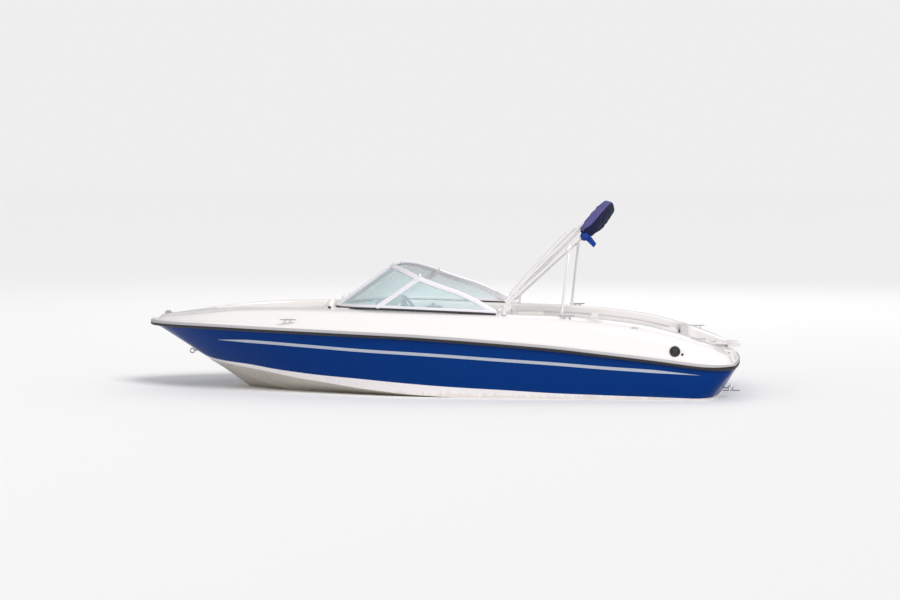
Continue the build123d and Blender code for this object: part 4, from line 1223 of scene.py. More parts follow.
@dataclass
class Windshield:
    """Wrap-round windshield: curved alloy rails, tinted panes, a centre door and rubber under it."""

    width: float = 0.044
    thick: float = 0.022
    pane: float = 0.005
    foot_front: tuple[Point, ...] = mm((905, 285, 752), (830, 480, 757), (710, 660, 762), (590, 755, 764),
        (475, 800, 764))
    head_front: tuple[Point, ...] = mm((386, 285, 1126), (350, 420, 1122), (280, 550, 1106),
        (190, 670, 1074), (88, 745, 1036))
    foot_side: tuple[Point, ...] = mm((475, 800, 764), (200, 845, 757), (-150, 872, 746), (-450, 880, 735),
        (-575, 880, 728))
    head_side: tuple[Point, ...] = mm((88, 745, 1036), (-79, 780, 976), (-257, 810, 918), (-433, 842, 838),
        (-560, 866, 762))

    def surface(self, foot: Sequence[Point], head: Sequence[Point], count: int) -> list[tuple[Vector,
            Vector]]:
        """Matching points along the foot and the head of a panel."""
        return list(zip(flowing(foot, count), flowing(head, count)))

    def rail(self, line: Sequence[Vector], inner: Sequence[Vector], width: float) -> Shape:
        """A flat rail whose outer edge is a line, lying in the panel's surface.

        Args:
            line: Its outer edge.
            inner: At each point, a point of the panel on the rail's inner side.
            width: The rail's width.

        Returns:
            The rail.
        """
        rings = []
        for i, (point, aim) in enumerate(zip(line, inner)):
            run = line[min(i + 1, len(line) - 1)] - line[max(i - 1, 0)]
            face = run.cross(aim - point).normalized()
            side = face.cross(run.normalized()).normalized()
            if side.dot(aim - point) < 0:
                side = -side
            rings.append([point + side * a + face * b for a, b in bar_section(width, self.thick)])
        return tube(rings)

    def glass(self, pairs: Sequence[tuple[Vector, Vector]], low: float, high: float) -> Shape:
        """A pane between foot and head lines, kept inside the rails."""
        rings = []
        for foot, head in pairs:
            size = max((head - foot).length, 1e-6)
            start, end = min(0.49, low / size), max(0.51, 1 - high / size)
            rings.append([foot.lerp(head, start + (end - start) * k / 8) for k in range(9)])
        obj = outward(skin(rings))
        return modify(obj, "SOLIDIFY", thickness=self.pane, offset=0)

    def build(self) -> None:
        """Build both sides and the door."""
        front = self.surface(self.foot_front, self.head_front, 29)
        side = self.surface(self.foot_side, self.head_side, 33)
        width = self.width
        feet, heads = [p[0] for p in front], [p[1] for p in front]
        parts = [self.rail(feet, heads, width * 0.7), self.rail(heads, feet, width)]
        posts = [front[0], front[-1]]
        across = [front[4], front[-5]]
        for k, (ends, inner) in enumerate(zip(posts, across)):
            line = [ends[0].lerp(ends[1], t / 10) for t in range(11)]
            aim = [inner[0].lerp(inner[1], t / 10) for t in range(11)]
            parts.append(self.rail(line, aim, width * (1.0, 0.55)[k]))
        feet, heads = [p[0] for p in side], [p[1] for p in side]
        parts += [self.rail(feet, [h + Vector((0, 0, 0.05)) for h in heads], width * 0.6),
            self.rail(heads, [f.lerp(Vector((-0.1, 0.85, 0.76)), 0.5) for f in feet], width)]
        line = [side[0][0].lerp(side[0][1], t / 10) for t in range(11)]
        aim = [side[6][0].lerp(side[6][1], t / 10) for t in range(11)]
        parts.append(self.rail(line, aim, width * 0.5))
        plate = mm((-425, 838, 842), (-530, 858, 782), (-645, 876, 716), (-530, 872, 716), (-440, 858, 780))
        cover = modify(mesh_of(plate, [(0, 1, 2, 3, 4)]), "SOLIDIFY", thickness=0.02, offset=0)
        parts.append(bevelled(outward(cover), 0.005, 2))
        frame_port = join(parts)
        frame_star = mirrored(frame_port)
        for obj, hand in ((frame_port, "port"), (frame_star, "starboard")):
            piece(obj, f"windshield_rails_{hand}", ALLOY, [f"windshield_frame_{hand}"], angle=42)
        front_pane = self.glass(front[1:], 0.02, 0.03)
        side_pane = self.glass(side[1:], 0.015, 0.03)
        for obj, kind in ((front_pane, "front"), (side_pane, "side")):
            other = mirrored(obj)
            piece(obj, f"{kind}_pane_port", GLASS, [f"{kind}_glass_port"])
            piece(other, f"{kind}_pane_starboard", GLASS, [f"{kind}_glass_starboard"])
        self.gasket()
        self.knobs()
        self.door()

    def gasket(self) -> None:
        """Dark rubber under the rails."""
        line = flowing([*self.foot_front, *self.foot_side[1:]], 60)
        lower = [p + Vector((0, 0.004, -0.004)) for p in line]
        section = mm((-14, -10), (14, -10), (13, 4), (-13, 4))
        port = swept(lower, [Vector((0, 0, 1))] * len(lower), section)
        piece(mirrored(port), "windshield_gasket_starboard", BLACK)
        piece(port, "windshield_gasket_port", BLACK)

    def knobs(self) -> None:
        """Pale cap knobs on the head rail where its parts meet."""
        places = [Vector((0.098, 0.742, 1.043)), Vector((0.098, -0.742, 1.043))]
        for place, hand in zip(places, ("port", "starboard")):
            knob = turned(mm((0, 20), (7, 19), (12, 14), (13, 6), (10, 0), (10, -6), (0, -6)), place,
                (0, 0.1, 1), 20)
            piece(knob, f"windshield_knob_{hand}", WHITE)

    def door(self) -> None:
        """Centre door of the windshield, on its hinge posts."""
        foot = [Vector((0.905, y, 0.762)) for y in np.linspace(-0.272, 0.272, 9)]
        head = [Vector((0.392, y, 1.126)) for y in np.linspace(-0.272, 0.272, 9)]
        parts = [self.rail(foot, head, 0.034), self.rail(head, foot, 0.04)]
        for i, j in ((0, 2), (-1, -3)):
            line = [foot[i].lerp(head[i], t / 8) for t in range(9)]
            aim = [foot[j].lerp(head[j], t / 8) for t in range(9)]
            parts.append(self.rail(line, aim, 0.034))
        piece(parts, "windshield_door_rails", ALLOY, ["windshield_door"], angle=42,
            body="windshield_door_body")
        pane = self.glass(list(zip(foot, head)), 0.02, 0.02)
        piece(pane, "door_pane", GLASS, ["door_glass"], body="windshield_door_body")
        spot = Vector((0.4, 0.2, 1.137))
        latch = join([bar(spot - Vector((0, 0, 0.014)), spot, 0.011, bevel=0.003),
            ball(spot + Vector((0, 0, 0.006)), 0.013, (1, 1, 0.8))])
        piece(latch, "door_latch_knob", WHITE, body="windshield_door_body")


@dataclass
class Pad:
    """One stuffed pad, made flat and then carried to its place.

    Its top is crowned, its sides pull in between the corners, and piping follows its upper seam.
    """

    name: str
    outline: Sequence[Flat]
    thick: float
    place: Matrix
    stands_for: Sequence[str] = ()
    body: str = "boat"
    crown: float = 0.014
    round_edge: float = 0.028
    channels: float = 0.0
    channel_axis: int = 0
    channel_depth: float = 0.006
    bend: float = 0.0
    pitch: float = 0.014
    finish: Finish = VINYL
    piping: Finish = VINYL
    fill: float = 0.8

    def build(self) -> Shape:
        """Returns:
            The pad.
        """
        edge = self.dense(self.outline)
        points, faces = filled(edge, self.pitch, self.pitch * 0.6)
        flat = np.array(points, float)
        away = edge_distance(flat, np.array(edge, float))
        away[: len(edge)] = 0.0
        half = max(float(away.max()), 1e-3)
        roll = np.minimum(away, self.round_edge)
        rise = np.sqrt(np.maximum(self.round_edge ** 2 - (self.round_edge - roll) ** 2,
            0)) - self.round_edge
        swell = self.crown * (1 - (1 - np.minimum(away / min(half, 0.16), 1)) ** 2)
        seam = -0.003 * np.exp(-(((away - self.round_edge * 0.55) / 0.004) ** 2))
        height = self.thick - self.crown + rise * 0.75 + swell + seam
        if self.channels:
            where = flat[:, self.channel_axis]
            centre = (where.min() + where.max()) / 2
            phase = np.abs(((where - centre) / self.channels) % 1 - 0.5) * 2
            groove = np.exp(-(((1 - phase) * self.channels / 2 / 0.011) ** 2))
            fade = np.clip((away - self.round_edge * 1.4) / 0.03, 0, 1)
            height -= self.channel_depth * groove * fade
        count = len(edge)
        vertices = [(x, y, z) for (x, y), z in zip(points, height)]
        upper = mesh_of(vertices, faces)
        top_edge = height[:count]
        rows = []
        middle = np.array(edge).mean(0)
        for share, pull in ((1.0, 0.0), (0.8, 0.0025), (0.5, 0.004), (0.2, 0.002), (0.06, 0.004),
                (0.0, 0.012)):
            row = []
            for k, (x, y) in enumerate(edge):
                inward = Vector((middle[0] - x, middle[1] - y)).normalized() * (pull * 1.3)
                row.append((x + inward.x, y + inward.y, top_edge[k] * share))
            rows.append(row)
        sides = skin(rows, closed=True)
        base = mesh_of(rows[-1], [tuple(range(count))])
        pad = outward(join([upper, sides, base]), 2e-5)
        self.crease(pad)
        if self.bend:
            for vertex in pad.data.vertices:
                vertex.co.z += self.bend * (vertex.co.y / 0.25) ** 2 * max(0.0, vertex.co.z) / self.thick
        inset = self.round_edge * 0.12
        seam_line = []
        for k, (x, y) in enumerate(edge):
            inward = Vector((middle[0] - x, middle[1] - y)).normalized() * inset
            lift = self.bend * (y / 0.25) ** 2 if self.bend else 0.0
            seam_line.append(Vector((x + inward.x, y + inward.y, top_edge[k] + 0.001 + lift)))
        cord = swept(seam_line, [Vector((0, 0, 1))] * count, oval(0.0035, 0.0035, 8), loop=True)
        moved(pad, self.place)
        moved(cord, self.place)
        piece(pad, self.name, self.finish, self.stands_for, angle=60, body=self.body)
        piece(cord, self.name + "_piping", self.piping, angle=60, body=self.body)
        return pad

    def crease(self, pad: Shape) -> None:
        """Slight unevenness of stuffing under the cover."""
        for vertex in pad.data.vertices:
            amount = noise.noise(vertex.co * 7 + Vector((len(self.name), 0, 0))) * 0.0025
            if vertex.co.z > self.thick * 0.4:
                vertex.co.z += amount

    def dense(self, outline: Sequence[Flat]) -> list[Flat]:
        """The outline with points no further apart than the pitch."""
        line = []
        for a, b in zip(outline, [*outline[1:], outline[0]]):
            count = max(1, int((Vector(b) - Vector(a)).length / (self.pitch * 1.2)))
            line += [tuple(Vector(a).lerp(Vector(b), k / count)) for k in range(count)]
        return line


def soft_rectangle(x0: float, x1: float, y0: float, y1: float, radius: float = 0.05) -> list[Flat]:
    """A rectangle's outline with round corners, closed."""
    middle = ((x0 + x1) / 2, y0)
    corners = [middle, (x1, y0), (x1, y1), (x0, y1), (x0, y0), middle]
    return rounded(corners, [radius] * 4, 6)[:-1]


def standing(x: float, y: float, z: float, lean: float, turn: float = 0.0) -> Matrix:
    """Place for a pad that stands up: its own X runs up, its top faces forward, leaning aft in degrees."""
    up = Matrix(((0, 0, 1, 0), (0, 1, 0, 0), (1, 0, 0, 0), (0, 0, 0, 1)))
    flip = Matrix.Diagonal((1, -1, 1, 1))
    return (Matrix.Translation((x, y, z)) @ Matrix.Rotation(math.radians(turn), 4, "Z")
        @ Matrix.Rotation(math.radians(-lean), 4, "Y") @ up @ flip)


@dataclass
class Upholstery:
    """All cushions of the cockpit and the bow."""

    bow_level: float = 0.4
    bow_thick: float = 0.09
    seat_x: float = -0.33
    seat_y: float = 0.43
    seat_level: float = 0.34

    def build(self) -> None:
        """Build the bow lounge, the two front seats, the aft bench and the sun pad."""
        self.bow()
        self.front_seats()
        self.bench()
        self.sun_pad()

    def bow(self) -> None:
        """Two side cushions and a front cushion in the bow, with backrests against the consoles."""
        level = Matrix.Translation((0, 0, self.bow_level))
        side = rounded(mm((1200, 212), (1632, 212), (1632, 448), (1500, 507), (1048, 596), (1048, 212),
            (1200, 212)), [0.03, 0.04, 0.3, 0.04, 0.03], 6)[:-1]
        for hand, sign in HANDS.items():
            outline = [(x, y * sign) for x, y in side][::sign]
            Pad(f"bow_seat_{hand}", outline, self.bow_thick, level, [f"bow_cushion_{hand}"],
                channels=0.14).build()
        nose = rounded(mm((1800, -377), (1655, -438), (1655, 438), (1890, 333), (2066, 148), (2066, -148),
            (1890, -333), (1800, -377)), [0.04, 0.04, 0.2, 0.06, 0.06, 0.2], 6)[:-1]
        Pad("bow_seat_front", nose[::-1], self.bow_thick, level, ["bow_cushion_front"]).build()
        for hand, sign in HANDS.items():
            outline = soft_rectangle(0.0, 0.335, -0.135, 0.135, 0.06)
            Pad(f"bow_backrest_{hand}", outline, 0.075, standing(0.956, 0.42 * sign, 0.492, 13),
                (), crown=0.02).build()
        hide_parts("bow_backrests")

    def front_seats(self) -> None:
        """Helm and passenger bucket seats on turned pedestals."""
        for name, sign in (("passenger_seat", 1), ("helm_seat", -1)):
            x, y, z = self.seat_x, self.seat_y * sign, self.seat_level
            shell = box((x - 0.235, y - 0.235, z), (x + 0.235, y + 0.235, z + 0.03), 0.012, 4)
            back = box((x - 0.325, y - 0.235, z + 0.03), (x - 0.292, y + 0.235, z + 0.375), 0.014, 4)
            piece([shell, back], f"{name}_shell", WHITE, [name])
            cushion = soft_rectangle(-0.235, 0.235, -0.24, 0.24, 0.08)
            Pad(f"{name}_cushion", cushion, 0.095, Matrix.Translation((x + 0.005, y, z + 0.031)), (),
                crown=0.022, channels=0.105, channel_axis=1, bend=0.016).build()
            rest = rounded(mm((0, 0), (0, -225), (220, -240), (355, -185), (355, 185), (220, 240), (0, 225),
                (0, 0)), [0.06, 0.08, 0.08, 0.08, 0.08, 0.06], 6)[:-1]
            Pad(f"{name}_backrest", rest, 0.085, standing(x - 0.291, y, z + 0.035, 0), (), crown=0.02,
                channels=0.105, channel_axis=1, bend=0.024).build()
            foot = mm((0, 2), (128, 2), (130, 8), (124, 14), (75, 22), (46, 45), (38, 75), (36, 200),
                (36, 300), (50, 312), (90, 318), (90, 319.5), (0, 319.5))
            piece(turned(foot, (x, y, 0.02), (0, 0, 1), 48), f"{name}_post", ALLOY, [f"{name}_pedestal"])

    def bench(self) -> None:
        """Aft bench with a seat pad and a back pad, each in sewn channels."""
        base = box((-1.405, -0.675, 0.02), (-0.965, 0.675, 0.359), 0.012)
        piece(base, "bench_base", WHITE, ["aft_bench_base"])
        seat = soft_rectangle(-0.215, 0.215, -0.675, 0.675, 0.05)
        Pad("bench_seat", seat, 0.088, Matrix.Translation((-1.185, 0, 0.36)), ["aft_bench_cushion"],
            channels=0.135, channel_axis=1, pitch=0.016).build()
        back = soft_rectangle(0.0, 0.195, -0.67, 0.67, 0.05)
        Pad("bench_backrest", back, 0.095, standing(-1.402, 0, 0.455, 0), ["aft_bench_back"], crown=0.02,
            channels=0.135, channel_axis=1, pitch=0.016).build()

    def sun_pad(self) -> None:
        """Sun pad on the engine hatch, in three panels."""
        parts = [(-0.665, -0.226), (-0.222, 0.222), (0.226, 0.665)]
        for k, (y0, y1) in enumerate(parts):
            outline = soft_rectangle(-0.35, 0.35, y0, y1, 0.035)
            Pad(f"sun_pad_{k + 1}", outline, 0.066, Matrix.Translation((-1.7825, 0, 0.461)), (),
                "engine_hatch_body", crown=0.012, pitch=0.018, channels=0.175).build()
        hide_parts("sun_pad")


@dataclass
class SunTop:
    """The folded sun top: tube legs, struts, deck fittings and the sewn cover over the bows."""

    hinge: Point = (-0.648, 0.885, 0.795)
    strut_head: Point = (-1.2, 0.803, 1.262)
    strut_foot: Point = (-1.141, 0.875, 0.735)
    cover_radius: float = 0.083
    cover_line: tuple[Point, ...] = mm((-1322, 765, 1412), (-1362, 735, 1456), (-1412, 600, 1520),
        (-1462, 360, 1582), (-1482, 0, 1606), (-1462, -360, 1582), (-1412, -600, 1520), (-1362, -735, 1456),
        (-1322, -765, 1412))

    def build(self) -> None:
        """Build the legs, struts, fittings and the cover."""
        legs = []
        for sign in (1, -1):
            def at(x: float, y: float, z: float) -> Point:
                """A port point, on this side."""
                return (x, y * sign, z)

            head = at(-1.345, 0.742, 1.425)
            legs.append(pipe([at(-0.599, 0.896, 0.757), at(-0.648, 0.885, 0.797), at(-1.187, 0.79, 1.2925),
                head], 0.0145, 30))
            legs.append(pipe([at(-0.66, 0.884, 0.842), at(-1.0, 0.815, 1.193), at(-1.325, 0.745, 1.506)],
                0.0125, 24))
            legs.append(pipe([at(-0.7, 0.878, 0.9), at(-0.92, 0.828, 1.148), at(-1.178, 0.76, 1.424)],
                0.0125, 24))
            legs.append(ball(at(-1.18, 0.7595, 1.426), 0.0128))
            legs.append(bar(at(-0.652, 0.886, 0.832), at(-0.69, 0.88, 0.872), 0.0165, bevel=0.003))
            legs.append(turned(mm((8.2, -7), (19, -7), (21, -4), (21, 4), (19, 7), (8.2, 7)),
                at(*self.hinge), (0, 1, 0), 24))
            legs.append(bar(at(-1.172, 0.797, 1.276), at(-1.212, 0.783, 1.314), 0.019, bevel=0.004))
        tubes = join(legs)
        piece(tubes, "sun_top_tubes", TUBE, ["bimini_frame"], body="bimini_body")
        for hand, sign in HANDS.items():
            head = Vector((self.strut_head[0], self.strut_head[1] * sign, self.strut_head[2]))
            foot = Vector((self.strut_foot[0], self.strut_foot[1] * sign, self.strut_foot[2]))
            run = (head - foot).normalized()
            rod_piece = bar(foot + run * 0.01, head - run * 0.012, 0.0115, bevel=0.002)
            eye = turned(mm((8.4, -9), (15, -9), (17, -6), (17, 6), (15, 9), (8.4, 9)), head, (0, 1, 0), 24)
            tip = bar(foot - run * 0.004, foot + run * 0.035, 0.013, bevel=0.003)
            piece([rod_piece, eye, tip], f"sun_top_strut_{hand}", TUBE, [f"bimini_strut_{hand}"],
                body=f"bimini_strut_{hand}_body")
        self.fittings()
        self.cover()

    def fittings(self) -> None:
        """Deck hinges and the struts' sockets."""
        parts = []
        x, y, z = self.hinge
        for sign in (1, -1):
            base = box((x - 0.02, y * sign - 0.03, 0.716), (x + 0.02, y * sign + 0.03, 0.727), 0.004)
            parts.append(base)
            for shift in (-0.03, 0.022):
                cheek = box((x - 0.011, y * sign + sign * shift - 0.0035, 0.722),
                    (x + 0.011, y * sign + sign * shift + 0.0035, z + 0.01), 0.003)
                parts.append(cheek)
            parts.append(bar((x, y * sign - 0.034, z), (x, y * sign + 0.03, z), 0.0075, bevel=0.002))
            fx, fy, fz = self.strut_foot
            parts.append(box((fx - 0.015, fy * sign - 0.015, 0.62), (fx + 0.015, fy * sign + 0.015, fz
                - 0.022), 0.005))
            parts.append(bar((fx, fy * sign, fz - 0.026), (fx, fy * sign, fz - 0.008), 0.014, bevel=0.004))
        piece(parts, "sun_top_fittings", TUBE, ["bimini_deck_fittings"])

    def cover(self) -> None:
        """Sewn cover over the folded bows, gathered at its ends, with a rolled end and a flap."""
        line = flowing(self.cover_line, 150)
        rings = []
        count = len(line)
        sides = 40
        for i, point in enumerate(line):
            run = (line[min(i + 1, count - 1)] - line[max(i - 1, 0)]).normalized()
            out = Vector((-0.6, 0, 0.8))
            out = (out - run * out.dot(run)).normalized()
            side = run.cross(out)
            t = i / (count - 1)
            ends = min(t, 1 - t) * (count - 1) / 9
            squeeze = 1.0 if ends >= 1 else 0.62 + 0.38 * math.sin(ends * math.pi / 2)
            row = []
            for a in angles(sides):
                flat = 1.0 + 0.16 * math.cos(a) ** 2
                wave = noise.noise(Vector((i * 0.16, math.cos(a) * 1.3, math.sin(a) * 1.3))) * 0.1
                fold = 0.035 * math.sin(6 * a + i * 0.09) * (0.35 + 0.65 * abs(math.sin(i * 0.11)))
                radius = self.cover_radius * squeeze * flat * (0.9 + wave + fold)
                row.append(point + out * math.cos(a) * radius + side * math.sin(a) * radius * 0.92)
            rings.append(row)
        cover = skin(rings, closed=True, caps=True)
        # Faces on the side of the cover towards the light take the lighter canvas: painted light.
        for k, polygon in enumerate(cover.data.polygons):
            polygon.material_index = int(k < (count - 1) * sides and k % sides >= 24)
        modify(cover, "SUBSURF", levels=1, render_levels=1)
        piece(cover, "sun_top_cover", (NAVY, PAINTED_LIGHT_CANVAS), ["bimini_boot"], angle=70, body="bimini_body")
        roll = self.roll()
        piece(roll, "cover_end_roll", ROYAL, angle=70, body="bimini_body")
        flap = self.flap()
        piece(flap, "cover_end_flap", ROYAL, angle=70, body="bimini_body")

    def roll(self) -> Shape:
        """Rolled-up end of the cover's lining, below its port end."""
        rings = []
        for k in range(25):
            t = -1 + k / 12
            size = 0.036 * math.sqrt(max(0.02, 1 - abs(t) ** 2.6))
            row = []
            for a in angles(24):
                thick = size * (1 + 0.1 * math.sin(3 * a + t * 2.2) + 0.05 * math.sin(7 * a - t * 5))
                row.append((-1.328 - 0.012 * t + thick * math.cos(a) * 0.95, 0.768 + 0.062 * t, 1.394
                    + 0.006 * t + thick * math.sin(a)))
            rings.append(row)
        obj = tube(rings)
        return modify(obj, "SUBSURF", levels=1, render_levels=1)

    def flap(self) -> Shape:
        """Loose tab of the cover's end, folded down and hanging aft."""
        rows = []
        for i in range(16):
            t = i / 15
            row = []
            for k in range(9):
                s = k / 8 - 0.5
                wide = 0.062 * (1 - 0.35 * t)
                row.append((-1.345 - 0.075 * t - wide * s * 0.55, 0.782 + 0.016 * math.sin(t * 3.2) + 0.005
                    * math.sin(s * 8), 1.392 - 0.078 * t ** 1.25 + wide * s * 0.8))
            rows.append(row)
        obj = outward(skin(rows))
        return modify(obj, "SOLIDIFY", thickness=0.002, offset=0)


def from_cad(node: str, width: float = 0.004, segments: int = 2) -> Shape:
    """A copy of a CAD node's shape with its edges rounded.

    Args:
        node: The node.
        width: Width of the rounding.
        segments: Steps round it.

    Returns:
        The copy, at the origin.
    """
    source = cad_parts[node]
    obj = copy_of(source)
    place = source.matrix_world.copy()
    obj.parent = None
    obj.matrix_world = Matrix.Identity(4)
    obj.data.transform(place)
    outward(obj, 2e-5)
    with editing(obj):
        bpy.ops.mesh.dissolve_limited(angle_limit=math.radians(1))
    return bevelled(obj, width, segments, 30) if width else obj


def carried(node: str, body: str, finish: Finish, width: float = 0.004, extra: Sequence = (),
        press: tuple[float, float] | None = None) -> None:
    """Dress a rounded copy of a CAD node, joined with small parts, in the node's place.

    Args:
        node: The node.
        body: The body that it rides.
        finish: Its finish.
        width: Width of the edges' rounding.
        extra: Small parts joined to it.
        press: The level from which its top is pressed down, and the highest level that is left, if any.
    """
    whole = join([from_cad(node, width), *extra])
    if press:
        (start, under), top = press, span_of(whole, 2)[1]
        for vertex in whole.data.vertices:
            if vertex.co.z > start:
                vertex.co.z = start + (vertex.co.z - start) * (under - start) / (top - start)
    piece(whole, node + "_finished", finish, [node], body=body)


def dial(centre: Point, axis: Point, radius: float) -> list[Shape]:
    """A round gauge: chrome bezel, blank face and needle boss, as parts with colour indices."""
    bezel = turned([(radius * 0.86, 0.001), (radius * 0.9, 0.006), (radius * 0.97, 0.008), (radius, 0.005),
        (radius, -0.004), (radius * 0.86, -0.004), (radius * 0.86, 0.001)], centre, axis, 32)
    face = turned([(0, 0.0015), (radius * 0.87, 0.0015), (radius * 0.87, -0.003), (0, -0.003)], centre,
        axis, 32)
    boss = turned([(0, 0.005), (radius * 0.08, 0.0045), (radius * 0.1, 0.0015), (0, 0.0015)], centre, axis,
        12)
    paint(bezel, 1)
    paint(face, 2)
    paint(boss, 0)
    return [bezel, face, boss]


@dataclass
class Cockpit:
    """Consoles with the dash, floor carpets and padded panels along the sides."""

    dash_x: float = 0.4
    helm_y: float = -0.45
    hood: tuple[Flat, ...] = mm((420, 742), (392, 752), (384, 770), (394, 800), (424, 812), (480, 806),
        (560, 785), (640, 758), (660, 742))
    carpet: tuple[Flat, ...] = mm((-945, 0), (-945, 695), (-300, 672), (375, 585), (375, 245), (985, 235),
        (985, 0))

    def build(self) -> None:
        """Build both consoles, the dash, the floor and the sides."""
        for hand in ("port", "starboard"):
            carried(f"console_{hand}", "boat", WHITE, 0.01)
        self.helm_dash()
        self.passenger_dash()
        self.floor()
        self.sides()
        carried("engine_box", "boat", WHITE, 0.008)

    def hood_shape(self, middle: float, half: float) -> Shape:
        """A rounded brow on the console's top, its ends running down to it."""
        rings = []
        for k in range(21):
            t = -1 + 2 * k / 20
            share = (1 - abs(t) ** 3.2) ** 0.6 if abs(t) < 1 else 0.0
            row = []
            for x, z in self.hood:
                row.append((0.5 + (x - 0.5) * (0.72 + 0.28 * share), middle + half * t, 0.742 + (z - 0.742)
                    * share))
            rings.append(row)
        return outward(skin(rings, closed=True), 1e-4)

    def helm_dash(self) -> None:
        """Instrument panel with blank gauges, switches and a padded brow."""
        y = self.helm_y
        piece(self.hood_shape(y, 0.205), "dash_brow", GREY, angle=50)
        panel = box((self.dash_x - 0.007, y - 0.18, 0.572), (self.dash_x + 0.003, y + 0.18, 0.738), 0.005)
        parts = [panel]
        for shift, z, radius in ((-0.145, 0.7, 0.026), (-0.075, 0.7, 0.034), (0.0, 0.698, 0.03),
                (0.075, 0.7, 0.034), (0.145, 0.7, 0.026)):
            parts += dial((self.dash_x - 0.008, y + shift, z), (-1, 0, 0), radius)
        for k in range(3):
            for sign in (-1, 1):
                place = y + sign * (0.105 + 0.026 * k)
                rocker = box((self.dash_x - 0.013, place - 0.009, 0.612), (self.dash_x - 0.005, place
                    + 0.009, 0.642), 0.003)
                parts.append(paint(rocker, 0))
        key = turned(mm((0, 20), (4, 20), (5, 6), (11, 5), (12, 0), (0, 0)), (self.dash_x - 0.007, y - 0.15,
            0.59), (-1, 0, 0), 20)
        parts.append(paint(key, 1))
        piece(parts, "helm_dash_panel", (BLACK, CHROME, DIAL))
        rest = box((0.6, -0.66, 0.03), (0.78, -0.33, 0.075), 0.01)
        piece(rest, "helm_foot_rest", NONSKID)

    def passenger_dash(self) -> None:
        """Glove box lid, round speaker grilles, a grab rail and a cup ring on the port console."""
        lid = box((self.dash_x - 0.009, 0.315, 0.585), (self.dash_x + 0.002, 0.555, 0.728), 0.007)
        pull = box((self.dash_x - 0.017, 0.405, 0.7), (self.dash_x - 0.006, 0.465, 0.712), 0.004)
        piece([lid, paint(pull, 1)], "glove_box_lid", (GREY, CHROME))
        rings = [ring((self.dash_x - 0.002, 0.64, 0.655), (1, 0, 0), radius, 0.0042, 40)
            for radius in (0.058, 0.046, 0.034, 0.022, 0.01)]
        disc = bar((self.dash_x - 0.002, 0.64, 0.655), (self.dash_x + 0.002, 0.64, 0.655), 0.058, sides=40)
        piece([*rings, disc], "speaker_grille", BLACK)
        rail = pipe(mm((430, 330, 744), (425, 335, 775), (425, 370, 790), (425, 550, 790), (425, 585, 775),
            (430, 590, 744)), 0.009, 30)
        piece(rail, "passenger_grab_rail", STEEL, angle=60)
        cups = []
        for y in (0.3, -0.3):
            cups.append(turned(mm((36, 2), (45, 3), (46, 0), (40, -2), (36, -4), (36, 2)),
                (0.52, y, 0.7455), (0, 0, 1), 32))
        piece(cups, "cup_rings", STEEL)

    def floor(self) -> None:
        """Carpets on the cockpit floor and in the bow well."""
        half = rounded(self.carpet, [0.05, 0.5, 0.05, 0.03, 0.04], 5)
        outline = half + [(x, -y) for x, y in reversed(half[1:-1])]
        obj = Deck.anti_slip(outline[::-1], 0.02, 0.007)
        piece(obj, "cockpit_carpet", CARPET)
        well = Deck.anti_slip(soft_rectangle(1.02, 1.6, -0.185, 0.185, 0.03), 0.13, 0.007)
        piece(well, "bow_carpet", CARPET)

    def sides(self) -> None:
        """Padded panels on the cockpit's walls, in the seat's colours."""
        for hand, sign in HANDS.items():
            place = Matrix(((1, 0, 0, 0), (0, 0, -1, 0), (0, 1, 0, 0), (0, 0, 0, 1)))
            if sign < 0:
                place = Matrix(((-1, 0, 0, 0), (0, 0, 1, 0), (0, 1, 0, 0), (0, 0, 0, 1)))
            turn = Matrix.Rotation(math.radians(-1.1 * sign), 4, "Z")
            shift = Matrix.Translation((-0.43, 0.7435 * sign, 0.572))
            Pad(f"side_panel_{hand}", soft_rectangle(-0.46, 0.46, -0.075, 0.075, 0.03), 0.026, shift @ turn
                @ place, (), crown=0.008, round_edge=0.014, channels=0.23, channel_depth=0.004,
                pitch=0.016).build()


